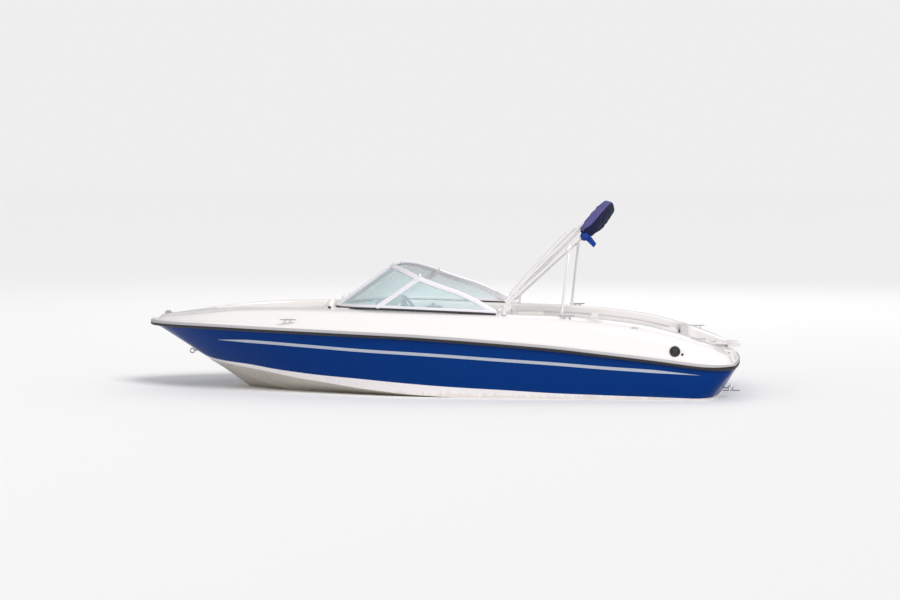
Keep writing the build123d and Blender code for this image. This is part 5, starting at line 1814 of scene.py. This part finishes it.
@dataclass
class Helm:
    """Steering wheel with its column, and the throttle on the side."""

    centre: Point = (0.302, -0.45, 0.664)
    normal: Point = (-0.811, 0, 0.585)
    radius: float = 0.168
    grip: float = 0.013

    def build(self) -> None:
        """Build the wheel, the column and the throttle."""
        place = Matrix(((0, -0.585, -0.811, self.centre[0]), (1, 0, 0, self.centre[1]),
            (0, -0.811, 0.585, self.centre[2]), (0, 0, 0, 1)))
        rings = []
        for a in angles(96):
            out = Vector((math.cos(a), math.sin(a), 0))
            row = []
            for b in angles(16):
                bump = 0.0016 * math.cos(a * 24) * max(0.0, -math.sin(b))
                thick = self.grip + bump - 0.0008 * (math.cos(b) > 0.98)
                row.append(out * (self.radius + thick * math.cos(b))
                    + Vector((0, 0, thick * math.sin(b) * 1.08)))
            rings.append(row)
        rim = outward(skin([*rings, rings[0]], closed=True))
        parts = [rim]
        for angle in (90, -30, 210):
            spoke = []
            for share, width, thick, rise in ((0.0, 0.024, 0.007, -0.012), (0.3, 0.02, 0.006, -0.014),
                    (0.55, 0.014, 0.005, -0.011), (0.8, 0.013, 0.0045, -0.005), (1.0, 0.017, 0.005, 0.0)):
                r = 0.02 + (self.radius - 0.022) * share
                spoke.append([(r, a, rise + b) for a, b in oval(width, thick, 16)])
            arm = tube(spoke)
            slot = tube([[(x, y * 0.45, z + 0.0055) for x, y, z in row] for row in spoke[1:4]])
            moved(slot, Matrix.Rotation(math.radians(angle), 4, "Z"))
            parts += [paint(moved(arm, Matrix.Rotation(math.radians(angle), 4, "Z")), 1), slot]
        hub = turned(mm((0, 22), (20, 21), (34, 16), (42, 6), (45, -8), (43, -20), (0, -20)), (0, 0, 0),
            (0, 0, 1), 40)
        trim = turned(mm((24, 21.5), (26, 22.5), (29, 21), (30, 17.5), (24, 21.5)), (0, 0, 0), (0, 0, 1),
            40)
        parts += [hub, paint(trim, 1)]
        wheel = moved(join(parts), place)
        piece(wheel, "wheel", (BLACK, STEEL), ["steering_wheel"], angle=50, body="steering_wheel_body")
        self.column()
        self.throttle()

    def column(self) -> None:
        """Column shroud between the wheel and the dash, with a ring against the panel."""
        back = -Vector(self.normal)
        start = Vector(self.centre)
        shroud = turned(mm((0, 21), (9.5, 21), (9.5, 26), (26, 27), (30, 32), (30, 78), (34, 90), (36, 120),
            (36, 150), (0, 150)), start, back, 36)
        piece(shroud, "column_shroud", BLACK, ["steering_column"])

    def throttle(self) -> None:
        """Side control: a rounded box, a chrome plate and a lever with a black grip."""
        case = box((0.062, -0.744, 0.562), (0.218, -0.7, 0.698), 0.016, 4)
        face = turned(mm((0, 10), (22, 10), (40, 6), (46, 1), (46, -2), (0, -2)), (0.14, -0.7, 0.63),
            (0, 1, 0), 36)
        lever = tube([[(x + a, y + b * 0.5, z) for a, b in oval(width, 0.01, 16)] for x, y, z,
            width in ((0.14, -0.69, 0.62, 0.013), (0.141, -0.687, 0.655, 0.011), (0.143, -0.685, 0.69,
            0.008), (0.144, -0.684, 0.704, 0.008))])
        grip = ball((0.145, -0.69, 0.714), 0.0145, (1.15, 1.5, 0.95))
        lock = bar((0.143, -0.676, 0.7), (0.143, -0.676, 0.69), 0.005, bevel=0.001)
        parts = [case, paint(face, 1), paint(lever, 1), grip, lock]
        piece(parts, "side_control", (BLACK, CHROME), ["throttle"])
        outlet = box((0.02, -0.751, 0.706), (0.058, -0.739, 0.722), 0.003)
        piece(outlet, "side_switch_plate", BLACK)


@dataclass
class Fittings:
    """Cleats, filler cap, lights, towing eyes, hinges and the swim ladder."""

    cleats: tuple = (("bow_cleats", 1.24, 0.884, 0.664, 1), ("mid_cleats", -1.19, 0.917, 0.712, 0),
        ("stern_cleats", -2.31, 0.85, 0.52, 0))
    ladder_x: Flat = (-2.682, -2.29)
    ladder_y: Flat = (-0.6, -0.33)
    ladder_z: float = 0.395

    def build(self) -> None:
        """Build every fitting."""
        for name, x, y, z, lean in self.cleats:
            port = self.cleat(x, y, z, lean)
            both = join([port, mirrored(port)])
            finish = STEEL if name == "mid_cleats" else CHROME
            piece(both, name + "_finished", finish, [name], angle=50)
        self.filler()
        self.lights()
        self.eyes()
        self.ladder()
        self.hinges()
        self.vents()

    def cleat(self, x: float, y: float, z: float, lean: int) -> Shape:
        """A horned cleat: tapered bar and two legs with feet.

        Args:
            x: Its middle along the boat.
            y: Its middle across.
            z: Height of the bar.
            lean: 1 where its legs run inboard, 0 where they run down.

        Returns:
            The cleat.
        """
        rings = []
        for k in range(25):
            t = -1 + k / 12
            size = 0.0082 - 0.0034 * abs(t) ** 1.6
            if abs(t) > 0.97:
                size *= 0.55
            lift = 0.006 * abs(t) ** 2.2
            shift = (-lift, 0.0) if lean else (0.0, lift)
            row = []
            for a in angles(12):
                row.append((x + 0.074 * t, y + shift[0] * -1 + size * 1.1 * math.cos(a), z + shift[1] + size
                    * math.sin(a)))
            rings.append(row)
        parts = [tube(rings)]
        for sign in (-1, 1):
            top = Vector((x + 0.024 * sign, y, z))
            run = Vector((0, -0.06, -0.008)) if lean else Vector((0, 0, -0.06))
            parts.append(bar(top, top + run, 0.0065, 0.0085, 16))
        return join(parts)

    def filler(self) -> None:
        """Fuel filler cap with a finger bar in its recess, and the tank's vent beside it."""
        cap = turned(mm((0, 7), (26, 6), (30, 10), (34, 14), (39, 13), (41, 8), (45.5, 6), (45.8, -2),
            (43, -10), (0, -10)), (-2.11, 0.996, 0.425), (-0.05, 1, 0.22), 56)
        grip = box((-2.136, 0.998, 0.42), (-2.084, 1.01, 0.433), 0.004)
        ribs = []
        for a in angles(18):
            where = (-2.11 + 0.0375 * math.cos(a), 1.009 - 0.0375 * math.sin(a) * 0.22, 0.425 + 0.0375
                * math.sin(a))
            ribs.append(ball(where, 0.0035))
        piece([cap, grip, *ribs], "fuel_cap_finished", BLACK, ["fuel_cap"])
        vent = turned(mm((0, 3), (3, 3), (4, 8), (7, 8), (9.5, 4), (10.5, -4), (0, -4)),
            (-2.174, 0.998, 0.4), (-0.05, 1, 0.2), 24)
        piece(vent, "fuel_vent_finished", BLACK, ["fuel_vent"])

    def lights(self) -> None:
        """Two-colour bow light under a chrome hood, and the horn's grille."""
        low = box((2.452, -0.036, 0.648), (2.54, 0.036, 0.664), 0.006)
        hood = outward(skin([[(x, y * w, 0.66 + h * math.sqrt(max(0.0, 1 - (y / 0.0345) ** 2)))
            for y in np.linspace(-0.034, 0.034, 13)] for x, w, h in ((2.458, 0.55, 0.004),
            (2.47, 0.9, 0.018), (2.492, 1.0, 0.026), (2.52, 0.98, 0.024), (2.529, 0.9, 0.02))]))
        modify(hood, "SOLIDIFY", thickness=0.002, offset=-1)
        red = ball((2.515, 0.014, 0.665), 0.013, (1.5, 1.0, 1.0))
        green = ball((2.515, -0.014, 0.665), 0.013, (1.5, 1.0, 1.0))
        paint(red, 1)
        paint(green, 2)
        piece([low, hood, red, green], "bow_light_finished", (CHROME, RED, GREEN), ["bow_light"], angle=50)
        horn = turned(mm((0, 13), (6, 13), (10, 10), (13, 4), (14, -10), (0, -10)), (0.91, 0.66, 0.76),
            (0.4, 0.1, 1), 24)
        piece(horn, "horn_finished", BLACK, ["horn"])

    def eyes(self) -> None:
        """Towing eye on the stem and two on the stern: bent bars on round plates."""
        bow = [ring((2.285, 0, 0.316), (0, 1, 0), 0.02, 0.006, 32), bar((2.266, 0, 0.316), (2.215, 0, 0.33),
            0.0075, sides=16), turned(mm((0, 4), (16, 3), (20, 0), (20, -6), (0, -6)), (2.236, 0, 0.325),
            (0.62, 0, -0.78), 24)]
        piece(bow, "bow_eye_finished", STEEL, ["bow_eye"], angle=50)
        stern = []
        for y in (0.6, -0.6):
            stern += [ring((-2.59, y, 0.08), (0, 1, 0), 0.02, 0.006, 32), bar((-2.572, y, 0.08),
                (-2.52, y, 0.08), 0.0075, sides=16), turned(mm((0, 4), (18, 3), (22, 0), (22, -6), (0, -6)),
                (stern_x(y, 0.08) - 0.002, y, 0.08), (-1, 0, 0.3), 24)]
        piece(stern, "stern_eyes_finished", STEEL, ["stern_eyes"], angle=50)

    def ladder(self) -> None:
        """Folding swim ladder: a bent tube with flat treads, on two hinges."""
        (aft, fore), (y0, y1), z = self.ladder_x, self.ladder_y, self.ladder_z
        corner = 0.05
        line = [(aft, y0, z), (aft + 0.15, y0, z), (fore - corner, y0, z), (fore - 0.012, y0 + 0.012, z),
            (fore, y0 + corner, z), (fore, y1 - corner, z), (fore - 0.012, y1 - 0.012, z),
            (fore - corner, y1, z), (aft + 0.15, y1, z), (aft, y1, z)]
        parts = [pipe(line, 0.0118, 90, 16)]
        for x in (-2.4, -2.5):
            tread = box((x - 0.024, y0 + 0.004, z - 0.01), (x + 0.024, y1 - 0.004, z + 0.012), 0.006)
            parts.append(paint(tread, 1))
            for k in range(5):
                rib_x = x - 0.018 + 0.009 * k
                rib = box((rib_x - 0.0015, y0 + 0.02, z + 0.011), (rib_x + 0.0015, y1 - 0.02, z + 0.0135),
                    0.0005, 1)
                parts.append(paint(rib, 1))
        for y in (y0, y1):
            parts.append(turned(mm((8.4, -10), (14.5, -10), (16, -8), (16, 8), (14.5, 10), (8.4, 10)),
                (aft, y, z), (0, 1, 0), 24))
        piece(parts, "ladder_finished", (TUBE, BLACK), ["swim_ladder"], angle=50, body="swim_ladder_body")
        holders = []
        for y in (y0, y1):
            for side in (-1, 1):
                near, far = sorted((y + side * 0.015, y + side * 0.021))
                holders.append(box((aft - 0.014, near, z - 0.028), (aft + 0.098, far, z + 0.013), 0.0026,
                    2))
            holders.append(bar((aft, y - 0.025, z), (aft, y + 0.025, z), 0.0076, bevel=0.002))
            holders.append(box((aft + 0.048, y - 0.029, 0.3455), (aft + 0.098, y + 0.029, 0.3685), 0.003,
                2))
            for dx, dy in ((0.056, -0.024), (0.056, 0.024), (0.09, -0.024), (0.09, 0.024)):
                holders.append(ball((aft + dx, y + dy, 0.3685), 0.004, (1, 1, 0.5)))
        piece(holders, "ladder_brackets_finished", TUBE, ["ladder_brackets"])

    def hinges(self) -> None:
        """Hatch with its hinges, and the windshield door's hinge knuckles."""
        x, z = -1.4175, 0.53
        fixed, moving = [], [box((-2.139, -0.669, 0.4305), (-1.4255, 0.669, 0.4595), 0.006)]
        for sign in (1, -1):
            low, high = 0.382, 0.456
            fixed.append(bar((x, (low + 0.019) * sign, z), (x, (high - 0.019) * sign, z), 0.0062,
                bevel=0.001))
            fixed.append(bar((x, (low - 0.002) * sign, z), (x, (high + 0.002) * sign, z), 0.0028))
            fixed.append(box((-1.4128, 0.402 * sign, 0.335), (-1.4065, 0.436 * sign, z + 0.0025), 0.001, 2))
            for start, end in ((low, low + 0.0175), (high - 0.0175, high)):
                moving.append(paint(bar((x, start * sign, z), (x, end * sign, z), 0.0062, bevel=0.001), 1))
                moving.append(paint(box((-1.4305, start * sign, 0.448), (-1.4262, end * sign, z + 0.0025),
                    0.001, 2), 1))
                moving.append(paint(box((-1.4305, start * sign, z - 0.003), (x, end * sign, z + 0.0025),
                    0.001, 2), 1))
        piece(fixed, "hatch_hinge_leaves", STEEL, ["hatch_hinges"])
        piece(moving, "hatch_lid", (WHITE, STEEL), ["engine_hatch"], body="engine_hatch_body")
        origin, run, out = Vector((0.903, -0.28, 0.761)), Vector((-0.8123, 0, 0.5833)), Vector((0.5833, 0,
            0.8123))
        fixed, moving = [], []
        for start in (0.13, 0.48):
            at = [origin + run * (start + shift) + out * 0.018 for shift in (-0.03, -0.0005, 0.0015, 0.03)]
            fixed += [bar(at[0], at[1], 0.0068, bevel=0.001), bar(at[0] - run * 0.001, at[3], 0.0032)]
            moving.append(bar(at[2], at[3], 0.0068, bevel=0.001))
            for first, last, near, far, low, high, kind in ((at[0], at[1], -0.029, -0.004, -0.01, -0.003,
                    fixed), (at[2], at[3], 0.004, 0.03, -0.009, -0.0045, moving)):
                leaf = [first, last]
                corners = [p + Vector((0, y, 0)) + out * h for p in leaf for y,
                    h in ((near, low), (far, low), (far, high), (near, high))]
                faces = [(0, 1, 2, 3), (7, 6, 5, 4), (0, 4, 5, 1), (1, 5, 6, 2), (2, 6, 7, 3), (3, 7, 4, 0)]
                kind.append(bevelled(outward(mesh_of(corners, faces)), 0.0008, 2))
        piece(fixed, "door_hinge_fixed", STEEL)
        piece(moving, "door_hinge_moving", STEEL, body="windshield_door_body")

    def vents(self) -> None:
        """Two slots of the engine's air inlet on each side of the deck, aft, as grey boxes: painted shade of
        the openings.
        """
        slots = []
        for sign in (1, -1):
            for z in (0.6215, 0.5955):
                y = 0.945 + (0.6215 - z) * 0.36
                slot = box((-1.8, (y - 0.006) * sign, z - 0.0032), (-1.738, (y + 0.0015) * sign, z
                    + 0.0032), 0.002, 2)
                slots.append(slot)
        # The grey of the slots is painted shade in their openings.
        piece(slots, "air_slots", PAINTED_LIGHT_GREY)


@dataclass
class Drive:
    """Stern drive under the waterline, its trim cylinders, propeller, and the engine inside."""

    steer_x: float = -2.66
    tilt_z: float = -0.15
    prop_z: float = -0.64

    def build(self) -> None:
        """Build the mount, the leg, the propeller, the cylinders and the engine."""
        self.mount()
        self.leg()
        self.propeller()
        for hand, sign in HANDS.items():
            self.cylinder(hand, sign)
        self.engine()

    def mount(self) -> None:
        """Transom plate with its bolts and lugs, and the steering ring."""
        bolts = []
        for y in (-0.14, 0.14):
            for z in (-0.06, -0.17, -0.29):
                x = stern_x(0, z) - 0.027
                bolts.append(turned(mm((0, 9), (7, 9), (9, 7), (9, 2), (14, 1), (14, -3), (0, -3)),
                    (x, y, z), (-1, 0, -0.41), 6))
        carried("gimbal_housing", "boat", DRIVE, 0.005, bolts, (-0.01, 0.003))
        caps = [bar((self.steer_x, y, self.tilt_z), (self.steer_x, y * 1.05, self.tilt_z), 0.022,
            bevel=0.004) for y in (0.133, -0.133)]
        carried("gimbal_ring", "gimbal_ring_body", DRIVE, 0.006, caps, (-0.006, 0.002))

    def section(self, z: float, front: float, back: float, half: float, nose: float) -> list[Vector]:
        """A rounded leg section at one height: blunt nose, fine tail."""
        row = []
        for a in angles(32):
            along_x = (front + back) / 2 + (front - back) / 2 * math.cos(a)
            share = (front - along_x) / (front - back)
            width = half * max(0.0, math.sin(math.pi * min(1.0, share) ** nose)) ** 0.62
            row.append(Vector((along_x, math.copysign(width, math.sin(a)) if abs(math.sin(a)) > 1e-6
                else 0.0, z)))
        return row

    def leg(self) -> None:
        """Leg: upper case, anti-ventilation plate, strut, gear case, skeg and the bellows in front."""
        upper = []
        for z, front, back, half, soft in ((-0.335, -2.812, -3.022, 0.062, 3), (-0.3, -2.808, -3.028, 0.072,
                4), (-0.22, -2.806, -3.029, 0.075, 4), (-0.08, -2.808, -3.026, 0.074, 4),
                (-0.03, -2.82, -3.012, 0.068, 4), (-0.008, -2.85, -2.98, 0.05, 3)):
            row = []
            for a in angles(32):
                c, s = math.cos(a), math.sin(a)
                row.append(Vector(((front + back) / 2 + (front - back) / 2
                    * math.copysign(abs(c) ** (2 / soft), c), half * math.copysign(abs(s) ** (2 / soft), s),
                    z)))
            upper.append(row)
        parts = [tube(upper)]
        strut = [self.section(z, front, back, half, nose) for z, front, back, half,
            nose in ((-0.322, -2.812, -3.024, 0.058, 0.8), (-0.4, -2.815, -3.018, 0.05, 0.75),
            (-0.5, -2.82, -3.01, 0.04, 0.7), (-0.6, -2.826, -3.004, 0.034, 0.7), (-0.7, -2.846, -2.984,
            0.02, 0.7), (-0.77, -2.872, -2.972, 0.011, 0.7), (-0.828, -2.9, -2.961, 0.006, 0.7))]
        parts.append(tube(strut))
        outline = rounded(mm((-2865, 0), (-2770, 60), (-2960, 108), (-3158, 80), (-3158, 0)),
            [0.1, 0.12, 0.05], 6)
        outline = [(-2.775, 0.0)] + outline[1:]
        whole = outline + [(x, -y) for x, y in reversed(outline[1:-1])]
        plate = mesh_of([(x, y, -0.406) for x, y in whole], [tuple(range(len(whole)))])
        modify(plate, "SOLIDIFY", thickness=0.011, offset=0)
        parts.append(bevelled(outward(plate), 0.004, 2))
        fin = turned(mm((0, 0), (16, 4), (30, 18), (42, 45), (50, 85), (53, 140), (53, 240), (51, 298),
            (0, 298)), (-2.722, 0, self.prop_z), (-1, 0, 0), 40)
        parts += [fin, bar((-3.018, 0, self.prop_z), (-3.164, 0, self.prop_z), 0.0138, sides=24)]
        anode = box((-2.965, -0.012, -0.44), (-2.925, 0.012, -0.41), 0.004)
        parts.append(paint(anode, 1))
        for side in (-1, 1):
            for k in range(4):
                slot = box((-2.925 + 0.016 * k, side * 0.03, -0.58 + 0.01 * k), (-2.918 + 0.016 * k, side
                    * 0.0375, -0.52 + 0.01 * k), 0.002, 2)
                parts.append(slot)
            ear = bar((self.steer_x, side * 0.069, self.tilt_z), (self.steer_x, side * 0.089, self.tilt_z),
                0.026, bevel=0.004)
            arm = box((-2.8, side * 0.069, self.tilt_z - 0.03), (self.steer_x, side * 0.084, self.tilt_z
                + 0.026), 0.005)
            pin = bar((self.steer_x, side * 0.071, self.tilt_z), (self.steer_x, side * 0.127, self.tilt_z),
                0.0138)
            parts += [ear, arm, paint(pin, 1)]
        rear = bar((-2.97, -0.134, -0.2), (-2.97, 0.134, -0.2), 0.0078, bevel=0.002)
        parts.append(paint(rear, 1))
        folds = []
        for k in range(33):
            t = k / 32
            folds.append((0.056 + 0.009 * math.cos(t * math.tau * 7), 0.012 + 0.118 * t))
        bellows = turned([(0, 0.012), *folds, (0, 0.13)], (-2.69, 0, self.tilt_z), (-1, 0, 0), 40)
        parts.append(paint(bellows, 2))
        cover = box((-2.99, -0.052, -0.016), (-2.84, 0.052, -0.006), 0.004)
        parts.append(cover)
        piece(parts, "drive_leg_finished", (DRIVE, STEEL, BLACK), ["drive_leg"], angle=45,
            body="drive_leg_body")

    def propeller(self) -> None:
        """Three-bladed propeller with cupped blades on a flared hub."""
        hub = turned(mm((14.1, -58), (40, -58), (46, -50), (48, -10), (47, 40), (49, 54), (47, 58),
            (43, 52), (40, 20), (14.1, 18), (14.1, -58)), (-3.096, 0, self.prop_z), (-1, 0, 0), 48)
        parts = [hub]
        for turn in (0, 120, 240):
            front, back = [], []
            for i in range(15):
                s = i / 14
                radius = 0.044 + 0.134 * s
                chord = 0.036 + 0.092 * math.sin(math.pi * min(1.0, 0.2 + 0.62 * s)) ** 1.2 * (1 - s ** 7)
                pitch = math.radians(62 - 40 * s ** 0.7)
                skew = -0.012 * s * s
                thick = 0.0062 * (1 - s) + 0.0018
                one, two = [], []
                for j in range(13):
                    u = j / 12 * 2 - 1
                    a = chord / 2 * u
                    lift = thick * max(0.0, 1 - u * u) ** 0.5 + 0.0006
                    cup = 0.004 * max(0.0, u) ** 3 * s
                    for row, side in ((one, 1), (two, -1)):
                        along_x = math.sin(pitch) * a + math.cos(pitch) * (side * lift + cup)
                        around = (math.cos(pitch) * a - math.sin(pitch) * (side * lift + cup)
                            + skew) / radius
                        row.append((-3.096 + along_x * 0.92, radius * math.sin(around), radius
                            * math.cos(around)))
                front.append(one)
                back.append(two)
            rings = [a + b[::-1] for a, b in zip(front, back)]
            blade = tube(rings)
            moved(blade, Matrix.Translation((0, 0, self.prop_z)) @ Matrix.Rotation(math.radians(turn), 4,
                "X"))
            parts.append(blade)
        nut = turned(mm((14.2, 0), (22, 0), (22, 12), (16, 16), (14.2, 16), (14.2, 0)),
            (-3.116, 0, self.prop_z), (-1, 0, 0), 6)
        piece([*parts, nut], "propeller_finished", STEEL, ["propeller"], angle=40, body="propeller_body")

    def cylinder(self, hand: str, sign: int) -> None:
        """One trim cylinder: barrel with end caps and hoses' unions, and its polished rod."""
        front = Vector((-2.675, 0.176 * sign, -0.301))
        rear = Vector((-2.97, 0.12 * sign, -0.2))
        run = (rear - front).normalized()
        barrel = turned(mm((9.2, 250), (20, 250), (23.5, 246), (23.5, 222), (21.5, 218), (21.5, 52),
            (23.5, 48), (23.5, 30), (18, 22), (12, 18), (0, 18)), front, run, 32)
        eye = turned(mm((8.3, -12), (17, -12), (20, -9), (20, 9), (17, 12), (8.3, 12)), front, (0, 1, 0),
            28)
        unions = [bar(front + run * d + Vector((0, 0, 0.018)), front + run * d + Vector((0, 0, 0.034)),
            0.006, sides=6, bevel=0.001) for d in (0.038, 0.234)]
        piece([barrel, eye, *unions], f"trim_barrel_{hand}_finished", DRIVE, [f"trim_barrel_{hand}"],
            body=f"trim_barrel_{hand}_body")
        length = (rear - front).length
        rod_piece = bar(front + run * 0.062, front + run * (length - 0.018), 0.0088, sides=28)
        end = turned(mm((14.7, -12), (19, -12), (21, -10), (21, 10), (19, 12), (14.7, 12)), rear, (0, 1, 0),
            28)
        piece([rod_piece, end], f"trim_rod_{hand}_finished", CHROME, [f"trim_rod_{hand}"],
            body=f"trim_rod_{hand}_body")

    def engine(self) -> None:
        """The engine as seen under the hatch: block, heads, manifolds, intake, belt drive and hoses."""
        parts = [box((-2.08, -0.13, -0.168), (-1.56, 0.13, -0.06), 0.02), box((-2.09, -0.17, -0.07),
            (-1.52, 0.17, 0.15), 0.015), box((-2.0, -0.09, 0.15), (-1.6, 0.09, 0.28), 0.03, 4),
            bar((-2.125, 0, 0.02), (-2.07, 0, 0.02), 0.2, sides=40, bevel=0.012)]
        for sign in (1, -1):
            parts.append(box((-2.04, 0.1 * sign, 0.12), (-1.57, 0.225 * sign, 0.225), 0.02))
            parts.append(box((-2.05, 0.205 * sign, 0.05), (-1.56, 0.268 * sign, 0.15), 0.022, 4))
            for k in range(4):
                x = -1.98 + 0.12 * k
                parts.append(bar((x, 0.08 * sign, 0.24), (x, 0.16 * sign, 0.19), 0.022, sides=20,
                    bevel=0.004))
            riser = pipe([(-2.03, 0.236 * sign, 0.13), (-2.04, 0.236 * sign, 0.24), (-2.075, 0.225 * sign,
                0.285), (-2.1, 0.21 * sign, 0.2), (-2.105, 0.2 * sign, 0.05)], 0.03, 24, 18)
            parts.append(riser)
        filter_cap = turned(mm((0, 75), (90, 72), (100, 62), (100, 12), (90, 0), (0, 0)), (-1.8, 0, 0.325),
            (0, 0, 1), 40)
        parts += [paint(filter_cap, 1), bar((-1.8, 0, 0.27), (-1.8, 0, 0.33), 0.045, bevel=0.004)]
        for y, z, radius in ((0.0, -0.02, 0.085), (0.11, 0.13, 0.05), (-0.12, 0.1, 0.055),
                (0.0, 0.12, 0.06)):
            wheel = turned([(0, 0.03), (radius, 0.03), (radius, 0.022), (radius * 0.92, 0.016),
                (radius, 0.01), (radius, 0), (0, 0)], (-1.52, y, z), (1, 0, 0), 36)
            parts.append(paint(wheel, 1))
        parts.append(box((-1.6, 0.06, 0.08), (-1.515, 0.165, 0.18), 0.02, 4))
        belt = pipe(mm((-1505, 0, -106), (-1505, -90, 0), (-1505, -176, 100), (-1505, -130, 155),
            (-1505, 0, 182), (-1505, 110, 182), (-1505, 162, 130), (-1505, 85, 0), (-1505, 0, -106)), 0.006,
            64, 10)
        parts.append(paint(belt, 2))
        for points in (((-1.5, 0.03, 0.14), (-1.47, 0.1, 0.2), (-1.55, 0.16, 0.26), (-1.66, 0.12, 0.28)),
                ((-1.52, -0.1, 0.05), (-1.47, -0.18, 0.06), (-1.5, -0.24, 0.02), (-1.6, -0.25, 0.04))):
            parts.append(paint(pipe(points, 0.016, 24, 14), 2))
        for sign in (1, -1):
            for k in range(4):
                x = -1.97 + 0.12 * k
                lead = pipe([(x, 0.2 * sign, 0.19), (x + 0.02, 0.235 * sign, 0.235),
                    (-1.86, 0.12 * sign, 0.3)], 0.004, 14, 8)
                parts.append(paint(lead, 2))
        piece(parts, "engine_finished", (ENGINE, STEEL, BLACK), ["engine"], angle=45)


@dataclass
class Stage:
    """Pale floor at the waterline, plain studio light and the photograph's camera."""

    eye: Point = (-2.191, 19.877, 1.945)
    aim: Point = (0.10523, -0.99276, -0.05751)
    lens: float = 88.77
    floor_colour: Colour = (0.95, 0.95, 0.95)
    key: float = 2.1

    def build(self) -> None:
        """Build the floor, the lamps, the world and the camera."""
        clear()
        bpy.ops.mesh.primitive_plane_add(size=600)
        floor = bpy.context.object
        floor.name = "floor"
        material = bpy.data.materials.new("pale_floor")
        material.use_nodes = True
        shader = material.node_tree.nodes["Principled BSDF"]
        shader.inputs["Base Color"].default_value = (*self.floor_colour, 1)
        shader.inputs["Roughness"].default_value = 0.9
        floor.data.materials.append(material)
        self.world()
        self.sun()
        self.lamp("fill", (14, 10, 9), 260, 9.0)
        self.lamp("back", (-2, -14, 10), 260, 9.0)
        camera_data = bpy.data.cameras.new("photo_camera")
        camera_data.lens = self.lens
        camera_data.sensor_width = 36
        camera_data.clip_end = 2000
        camera = put("photo_camera", camera_data)
        camera.location = self.eye
        camera.rotation_euler = Vector(self.aim).to_track_quat("-Z", "Y").to_euler()
        bpy.context.scene.camera = camera
        bpy.context.scene.view_settings.view_transform = "Standard"

    def world(self) -> None:
        """Even light from all round, and white behind the boat."""
        world = bpy.data.worlds.new("studio")
        world.use_nodes = True
        bpy.context.scene.world = world
        tree = world.node_tree
        tree.nodes.clear()
        even = add_node(tree, "Background", Color=(0.97, 0.97, 1.0, 1), Strength=0.5)
        white = add_node(tree, "Background", Color=(1, 1, 1, 1), Strength=0.86)
        path = add_node(tree, "LightPath")
        seen = add_node(tree, "Math", {"operation": "MAXIMUM"}, i0=path.outputs["Is Camera Ray"],
            i1=path.outputs["Is Transmission Ray"])
        mixed = add_node(tree, "MixShader", i0=seen.outputs[0])
        tree.links.new(even.outputs[0], mixed.inputs[1])
        tree.links.new(white.outputs[0], mixed.inputs[2])
        out = tree.nodes.new("ShaderNodeOutputWorld")
        tree.links.new(mixed.outputs[0], out.inputs[0])

    def sun(self) -> None:
        """Wide soft key light over the whole floor, from above the camera's right."""
        data = bpy.data.lights.new("key", "SUN")
        data.energy = self.key
        data.color = (1.0, 0.985, 0.965)
        data.angle = math.radians(24)
        obj = put("key", data)
        obj.rotation_euler = Vector((9, -13, -14)).to_track_quat("-Z", "Y").to_euler()

    def lamp(self, name: str, place: Point, power: float, size: float) -> None:
        """A square soft lamp that looks at the boat."""
        data = bpy.data.lights.new(name, "AREA")
        data.energy = power
        data.size = size
        obj = put(name, data)
        obj.location = place
        obj.rotation_euler = (Vector((0, 0, 0.4)) - Vector(place)).to_track_quat("-Z", "Y").to_euler()


def dress_carried() -> None:
    """White gelcoat on the CAD nodes that stay, which is the cockpit liner."""
    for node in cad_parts.values():
        node.data.materials.clear()
        node.data.materials.append(WHITE.build())


def main() -> None:
    """Build every part of the boat in order."""
    logging.basicConfig(level=logging.INFO, format="%(name)s: %(message)s")
    Stage().build()
    dress_carried()
    for part in (Hull(), Deck(), Windshield(), Upholstery(), SunTop(), Cockpit(), Helm(), Fittings(),
            Drive()):
        part.build()
        log.info("%s done", type(part).__name__)


if __name__ == "__main__":
    main()
